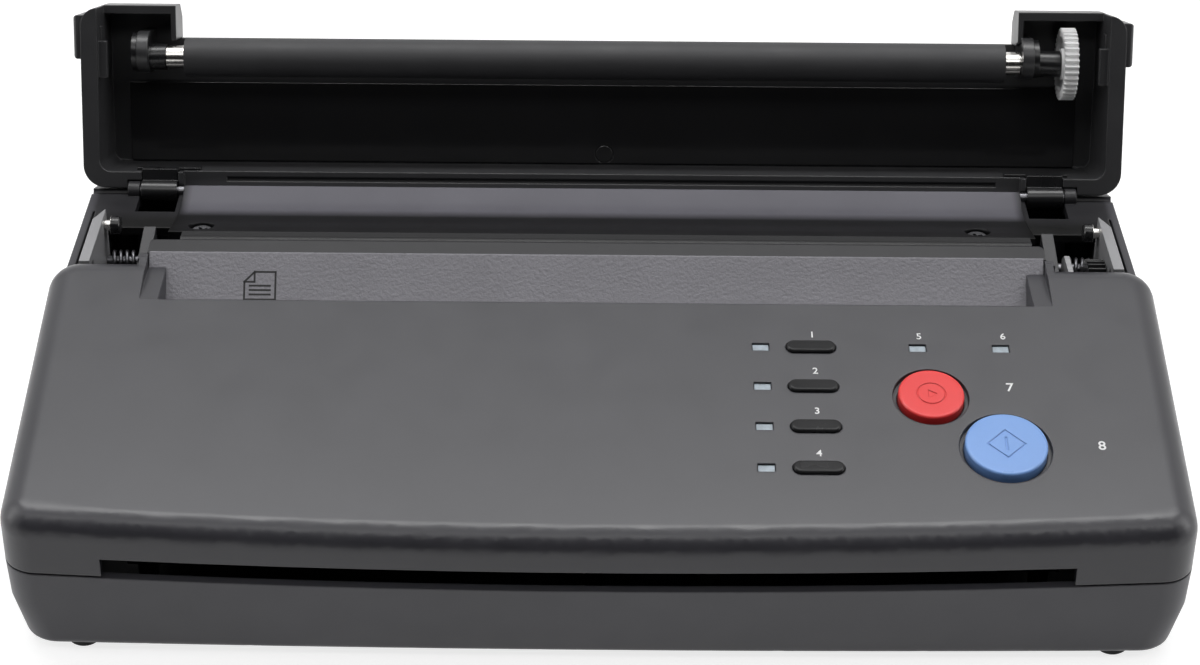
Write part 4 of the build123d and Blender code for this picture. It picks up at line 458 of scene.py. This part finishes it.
CASE_COLOUR = (0.0355, 0.035, 0.041)
FINISHES = {
    "case_grey": CoverPlastic("case_grey", CASE_COLOUR, 0.33, Grain.FINE, 0.5),
    "base_dark": Plastic("base_dark", (0.067, 0.066, 0.075), 0.42, Grain.FINE, 0.5),
    "deck_grey": DeckPlastic("deck_grey", (0.046, 0.045, 0.052), 0.40, Grain.FINE, 0.5,
                             specular=0.35),
    "lid_charcoal": Plastic("lid_charcoal", (0.034, 0.034, 0.036), 0.34, Grain.POLISHED, 0.5),
    "lid_gloss": Plastic("lid_gloss", (0.016, 0.016, 0.017), 0.16, Grain.POLISHED, 0.3),
    "ramp_grain": Plastic("ramp_grain", (0.245, 0.240, 0.262), 0.60, Grain.COARSE, 0.4),
    "black_plastic": Plastic("black_plastic", (0.010, 0.010, 0.011), 0.28, Grain.POLISHED, 0.35),
    "platen_rubber": Rubber("platen_rubber", (0.026, 0.026, 0.028), 0.62),
    "soft_rubber": Rubber("soft_rubber", (0.018, 0.018, 0.018), 0.75),
    "bright_steel": Metal("bright_steel", (0.78, 0.76, 0.73), 0.16, 0.05, True),
    "plated_sheet": Metal("plated_sheet", (0.48, 0.48, 0.49), 0.34),
    "head_grey": Plastic("head_grey", (0.045, 0.045, 0.048), 0.45, Grain.FINE, 0.3),
    "aluminium": Metal("aluminium", (0.20, 0.20, 0.21), 0.45),
    "ceramic": Plastic("ceramic", (0.012, 0.012, 0.013), 0.45, Grain.POLISHED, 0.3, specular=0.3),
    "gear_white": Plastic("gear_white", (0.90, 0.90, 0.90), 0.38, Grain.FINE, 0.15, 0.03),
    "glass": Glass("glass"),
    "latch_silver": Plastic("latch_silver", (0.30, 0.30, 0.31), 0.35, Grain.FINE, 0.3),
    "button_red": Plastic("button_red", (0.80, 0.035, 0.035), 0.30, Grain.POLISHED, 0.4, 0.03),
    "button_blue": Plastic("button_blue", (0.19, 0.36, 0.74), 0.30, Grain.POLISHED, 0.4, 0.03),
    "button_black": Plastic("button_black", (0.009, 0.009, 0.010), 0.25, Grain.POLISHED, 0.3,
                            specular=0.2),
    "lens": Lens("lens", (0.36, 0.42, 0.47)),
    "board_green": Board("board_green"),
    "chip_black": Plastic("chip_black", (0.02, 0.02, 0.02), 0.5, Grain.FINE, 0.2),
    "inlet_black": Plastic("inlet_black", (0.014, 0.014, 0.015), 0.42, Grain.FINE, 0.4),
    "peg_steel": PegSteel("peg_steel"),
    "screw_steel": Metal("screw_steel", (0.16, 0.16, 0.17), 0.3, 0.05, False, 0.1),
}
WHITE_INK = Ink("white_ink", (0.82, 0.82, 0.82))
# painted shade: the dark colour of the ramp mark's strokes stands for the shade in its engraved
# grooves
GROOVE_SHADE = Plastic("groove_shade", (0.012, 0.012, 0.013), 0.6, Grain.FINE, 0.05)


# ---------------------------------------------------------------- meshes
def make_piece(name: str, points: np.ndarray, faces: list[tuple[int, ...]], body: str,
               material: bpy.types.Material, smooth: bool = False) -> bpy.types.Object:
    """Puts a mesh in the scene as a piece that rides on a body.

    Args:
        name: Name of the piece.
        points: Vertices in the frame, metres, one row each.
        faces: Vertex indices of each face.
        body: CAD body it rides on.
        material: Its material.
        smooth: Whether its faces are shaded smooth.

    Returns:
        The object.
    """
    mesh = bpy.data.meshes.new(name)
    mesh.from_pydata(points.tolist(), [], faces)
    mesh.polygons.foreach_set("use_smooth", [smooth] * len(mesh.polygons))
    mesh.materials.append(material)
    piece = bpy.data.objects.new(name, mesh)
    bpy.context.scene.collection.objects.link(piece)
    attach(piece, body)
    LOG.info("piece %s: %d faces on %s", name, len(faces), body)
    return piece


def text_mesh(text: str, size: float, matrix: Matrix, depth: float) -> tuple[np.ndarray, list]:
    """Plain figures as a thin mesh.

    Args:
        text: The figures.
        size: Height of the type, metres.
        matrix: Placement, the text centred on its origin.
        depth: Half thickness of the ink, metres.

    Returns:
        Points in the frame and faces.
    """
    curve = bpy.data.curves.new("figures", "FONT")
    curve.body = text
    curve.size = size
    curve.align_x = "CENTER"
    curve.align_y = "CENTER"
    curve.extrude = depth
    curve.offset = size * TYPE_WEIGHT
    holder = bpy.data.objects.new("figures", curve)
    mesh = holder.to_mesh()
    points = np.empty(len(mesh.vertices) * 3)
    mesh.vertices.foreach_get("co", points)
    points = points.reshape(-1, 3)
    faces = [tuple(polygon.vertices) for polygon in mesh.polygons]
    holder.to_mesh_clear()
    bpy.data.objects.remove(holder)
    bpy.data.curves.remove(curve)
    moved = points @ np.array(matrix.to_3x3()).T + np.array(matrix.translation)
    return moved, faces


@dataclass
class Solids:
    """The carried-over solids, each dressed in its slot's finish."""

    finishes: dict[str, Any]
    built: dict[str, bpy.types.Material] = field(default_factory=dict)

    def material(self, slot: str) -> bpy.types.Material:
        """The material of a slot, built once."""
        if slot not in self.built:
            self.built[slot] = self.finishes[slot].build()
        return self.built[slot]

    def finish_of(self, node: str, entry: dict[str, Any]) -> str:
        """The finish of a node: its slot's, but the latch pegs have a dark knob."""
        return "peg_steel" if node.startswith("latch_peg") else entry["material_slot"]

    def dress(self) -> None:
        """Gives every solid the material of its slot."""
        for entry in frame["record"]["subparts"]:
            solid = frame["nodes"][entry["node"]]
            material = self.material(self.finish_of(entry["node"], entry))
            solid.data.materials.clear()
            solid.data.materials.append(material)
            LOG.info("dressed %s", entry["node"])


@dataclass
class RoundedShells:
    """Merged copies of the solids whose curved faces show, shaded without facets."""

    solids: Solids
    crease: float = math.radians(34.0)
    plain: tuple[str, ...] = ("main_board", "power_board", "control_board", "main_board_parts",
                              "power_board_parts", "key_switches", "scanner_glass")

    def merged(self, solid: bpy.types.Object) -> tuple[np.ndarray, list[tuple[int, ...]]]:
        """One vertex for every corner that triangles share.

        Points that agree to a tenth of a micrometre become one, and every triangle is
        written again with the numbers of the points that are left.
        """
        mesh = solid.data
        points = np.empty(len(mesh.vertices) * 3)
        mesh.vertices.foreach_get("co", points)
        corners = np.empty(len(mesh.loops), dtype=np.int64)
        mesh.loops.foreach_get("vertex_index", corners)
        keys = np.round(points.reshape(-1, 3) * MERGE_GRID).astype(np.int64)
        _, first, number = np.unique(keys, axis=0, return_index=True, return_inverse=True)
        faces = number.reshape(-1)[corners].reshape(-1, 3)
        first_corner, second_corner, third_corner = faces.T
        whole = (first_corner != second_corner) & (second_corner != third_corner)
        whole &= third_corner != first_corner
        return points.reshape(-1, 3)[first], [tuple(face) for face in faces[whole].tolist()]

    def build(self) -> None:
        """Replaces every solid but the plain ones with its merged copy."""
        body_of = {node: body for body, nodes in frame["record"]["behaviour"]["bodies"].items()
                   for node in nodes}
        for entry in frame["record"]["subparts"]:
            node = entry["node"]
            if node in self.plain:
                continue
            points, faces = self.merged(frame["nodes"][node])
            piece = make_piece(f"{node}_skin", points, faces, body_of[node],
                               self.solids.material(self.solids.finish_of(node, entry)), True)
            piece.data.set_sharp_from_angle(angle=self.crease)
            weighted = piece.modifiers.new("weighted", "WEIGHTED_NORMAL")
            weighted.mode = "FACE_AREA"
            weighted.weight = 100
            weighted.keep_sharp = True
            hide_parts(node)


@dataclass
class RampMark:
    """Small sheet pictogram engraved in the ramp: a page with a turned corner and lines, drawn as
    thin dark bars at the surface whose colour is painted shade of the grooves.
    """

    centre: float = -88.0
    top: float = 5.2
    width: float = 8.0
    height: float = 7.2
    stroke: float = 0.5
    fold: float = 2.6
    margin: float = 1.4
    rows: tuple[float, ...] = (0.5, 0.66, 0.82)
    lift: float = 0.02

    def strokes(self) -> list[tuple[float, float, float, float]]:
        """Strokes as x, drop, x, drop in millimetres from the mark's top middle."""
        half, low, fold = self.width / 2, self.height, self.fold
        page = [(-half + fold, 0.0), (half, 0.0), (half, low), (-half, low), (-half, fold),
                (-half + fold, 0.0)]
        lines = [(*first, *second) for first, second in zip(page, page[1:])]
        lines += [(-half, fold, -half + fold, fold), (-half + fold, fold, -half + fold, 0.0)]
        for drop in self.rows:
            lines.append((-half + self.margin, low * drop, half - self.margin, low * drop))
        return lines

    def build(self) -> None:
        """Each stroke is a flat bar, its corners half a stroke either side of its line."""
        slope = RAMP_SLOPE
        down = np.array((0.0, -math.cos(slope), -math.sin(slope)))
        normal = np.array((0.0, -math.sin(slope), math.cos(slope)))
        start = np.array(case_point(self.centre, *RAMP_TOP)) + down * self.top * MM
        points, faces = [], []
        for x0, d0, x1, d1 in self.strokes():
            first = np.array((x0, d0))
            last = np.array((x1, d1))
            along = (last - first) / np.linalg.norm(last - first) * self.stroke / 2
            across = np.array((-along[1], along[0]))
            flat = np.array([first - along - across, last + along - across, last + along + across,
                             first - along + across]) * MM
            plane = start + np.outer(flat[:, 0], (1.0, 0.0, 0.0)) + np.outer(flat[:, 1], down)
            base = len(points) * 8
            thick = normal * self.lift * MM
            points.append(np.vstack([plane - thick, plane + thick]))
            ring = [(0, 1, 2, 3), (7, 6, 5, 4), (0, 4, 5, 1), (1, 5, 6, 2), (2, 6, 7, 3),
                    (3, 7, 4, 0)]
            faces += [tuple(base + index for index in face) for face in ring]
        make_piece("ramp_page_mark", np.concatenate(points), faces, "base",
                   GROOVE_SHADE.build())


@dataclass
class PanelPrint:
    """Printed figures beside the keys and lamps, where the maker prints its words."""

    places: tuple[tuple[str, float, float, float], ...] = (
        ("1", 52.9, -14.3, 2.9), ("2", 53.1, -26.6, 2.9), ("3", 52.9, -39.8, 2.9),
        ("4", 52.7, -53.4, 2.9), ("5", 79.6, -14.6, 2.9), ("6", 100.6, -14.4, 2.9),
        ("7", 100.6, -31.6, 3.9), ("8", 120.9, -50.3, 3.9))
    ink: float = 0.015

    def build(self) -> None:
        """Makes every figure as one printed layer."""
        material = WHITE_INK.build()
        points, faces = [], []
        for text, x, y, size in self.places:
            matrix = panel_matrix(x, y, self.ink)
            block, block_faces = text_mesh(text, size * MM, matrix, self.ink * MM)
            start = sum(len(part) for part in points)
            faces += [tuple(start + index for index in face) for face in block_faces]
            points.append(block)
        make_piece("panel_figures", np.concatenate(points), faces, "base", material)


# ---------------------------------------------------------------- studio
@dataclass
class Studio:
    """Pale floor, soft lamps and the camera."""

    lens: float = 80.92
    place: tuple[float, float, float] = (0.85, -586.3, 412.0)
    elevation: float = 32.06
    yaw: float = -0.1
    roll: float = 0.42
    world_level: float = 0.12
    floor_grey: float = 0.45
    floor_glow: float = 0.78
    flag_place: tuple[float, float, float, float] = (-1.1, 2.2, 0.0, 1.9)
    lamps: tuple[tuple[str, tuple[float, float, float], tuple[float, float], float], ...] = (
        ("top_box", (0.0, 0.29, 1.3), (1.8, 0.34), 14.5),
        ("front_box", (0.0, -0.75, 1.2), (1.8, 0.3), 4.0),
        ("left_box", (-1.2, -0.1, 0.55), (0.4, 0.9), 3.0),
        ("right_box", (1.2, -0.1, 0.55), (0.4, 0.9), 3.0))

    def camera(self) -> None:
        """Sets the camera from its place and angles."""
        angles = (self.elevation, self.yaw, self.roll)
        elevation, yaw, roll = (math.radians(angle) for angle in angles)
        level = math.cos(elevation)
        forward = Vector((math.sin(yaw) * level, math.cos(yaw) * level, -math.sin(elevation)))
        right = Vector((math.cos(yaw), -math.sin(yaw), 0.0))
        up = right.cross(forward)
        turned_right = right * math.cos(roll) + up * math.sin(roll)
        turned_up = up * math.cos(roll) - right * math.sin(roll)
        data = bpy.data.cameras.new("camera")
        data.lens = self.lens
        data.sensor_width = 36.0
        data.clip_start = 0.01
        data.clip_end = 50.0
        camera = bpy.data.objects.new("camera", data)
        matrix = Matrix((turned_right, turned_up, -forward)).transposed().to_4x4()
        matrix.translation = case_point(*self.place)
        camera.matrix_world = matrix
        bpy.context.scene.collection.objects.link(camera)
        bpy.context.scene.camera = camera

    def lamp(self, name: str, place: tuple[float, float, float], target: tuple[float, float, float],
             size: tuple[float, float], power: float) -> None:
        """A rectangular soft lamp.

        Args:
            name: Its name.
            place: Place in metres.
            target: Point it faces.
            size: Width and height in metres.
            power: Watts.
        """
        data = bpy.data.lights.new(name, "AREA")
        data.shape = "RECTANGLE"
        data.size, data.size_y = size
        data.energy = power
        lamp = bpy.data.objects.new(name, data)
        lamp.location = place
        lamp.rotation_euler = (Vector(target) - Vector(place)).to_track_quat("-Z", "Y").to_euler()
        bpy.context.scene.collection.objects.link(lamp)

    def shown(self, tree: bpy.types.NodeTree) -> bpy.types.NodeSocket:
        """A value of 1 for rays that see the backdrop: straight, in gloss or through glass."""
        path = tree.nodes.new("ShaderNodeLightPath")
        total = path.outputs["Is Camera Ray"]
        for name in ("Is Glossy Ray", "Is Transmission Ray"):
            larger = tree.nodes.new("ShaderNodeMath")
            larger.operation = "MAXIMUM"
            tree.links.new(total, larger.inputs[0])
            tree.links.new(path.outputs[name], larger.inputs[1])
            total = larger.outputs[0]
        return total

    def world(self) -> None:
        """Even pale surroundings, plain white behind the object."""
        world = bpy.data.worlds.new("studio")
        world.use_nodes = True
        nodes, links = world.node_tree.nodes, world.node_tree.links
        nodes.clear()
        output = nodes.new("ShaderNodeOutputWorld")
        mixer = nodes.new("ShaderNodeMixShader")
        for index, level in ((1, self.world_level), (2, 1.0)):
            light = nodes.new("ShaderNodeBackground")
            light.inputs["Color"].default_value = (1, 1, 1, 1)
            light.inputs["Strength"].default_value = level
            links.new(light.outputs[0], mixer.inputs[index])
        links.new(self.shown(world.node_tree), mixer.inputs[0])
        links.new(mixer.outputs[0], output.inputs[0])
        bpy.context.scene.world = world

    def floor(self) -> None:
        """A wide floor that looks white and keeps the object's shadow."""
        shader = Shader("floor_paper")
        grain = shader.noise(300.0)
        base = shader.blend(grain, (self.floor_grey,) * 3, (self.floor_grey + 0.02,) * 3)
        shader.surface(Base_Color=base, Roughness=0.9, Specular_IOR_Level=0.0)
        tree = shader.tree
        glow = tree.nodes.new("ShaderNodeEmission")
        glow.inputs["Color"].default_value = (1, 1, 1, 1)
        add = tree.nodes.new("ShaderNodeAddShader")
        level = tree.nodes.new("ShaderNodeMath")
        level.operation = "MULTIPLY"
        level.inputs[1].default_value = self.floor_glow
        tree.links.new(self.shown(tree), level.inputs[0])
        tree.links.new(level.outputs[0], glow.inputs["Strength"])
        tree.links.new(shader.principled.outputs[0], add.inputs[0])
        tree.links.new(glow.outputs[0], add.inputs[1])
        output = next(node for node in tree.nodes if node.type == "OUTPUT_MATERIAL")
        tree.links.new(add.outputs[0], output.inputs[0])
        self.card("floor", [(-6, -6, 0), (6, -6, 0), (6, 6, 0), (-6, 6, 0)], shader.material)

    def card(self, name: str, corners: list[tuple[float, float, float]],
             material: bpy.types.Material) -> bpy.types.Object:
        """A flat stage card between four corners in metres."""
        mesh = bpy.data.meshes.new(name)
        mesh.from_pydata(corners, [], [(0, 1, 2, 3)])
        mesh.materials.append(material)
        card = bpy.data.objects.new(name, mesh)
        bpy.context.scene.collection.objects.link(card)
        return card

    def flag(self) -> None:
        """A black flag in front, which only gloss and soft light meet."""
        shader = Shader("flag_felt")
        felt = shader.noise(40.0)
        shader.surface(Base_Color=shader.blend(felt, (0.004,) * 3, (0.008,) * 3), Roughness=1.0,
                       Specular_IOR_Level=0.0)
        y, half, low, high = self.flag_place
        flag = self.card("front_flag", [(-half, y, low), (half, y, low), (half, y, high),
                                        (-half, y, high)], shader.material)
        flag.visible_camera = False
        flag.visible_shadow = False

    def build(self) -> None:
        """Makes the whole studio."""
        self.world()
        self.floor()
        self.flag()
        for name, place, size, power in self.lamps:
            self.lamp(name, place, (0.0, 0.0, 0.03), size, power)
        self.camera()
        bpy.context.scene.view_settings.view_transform = "Standard"


def main() -> None:
    """Dresses the solids, adds the fine pieces and sets up the studio."""
    logging.basicConfig(level=logging.INFO, format="%(name)s: %(message)s")
    solids = Solids(FINISHES)
    solids.dress()
    RoundedShells(solids).build()
    RampMark().build()
    PanelPrint().build()
    Studio().build()


if __name__ == "__main__":
    main()
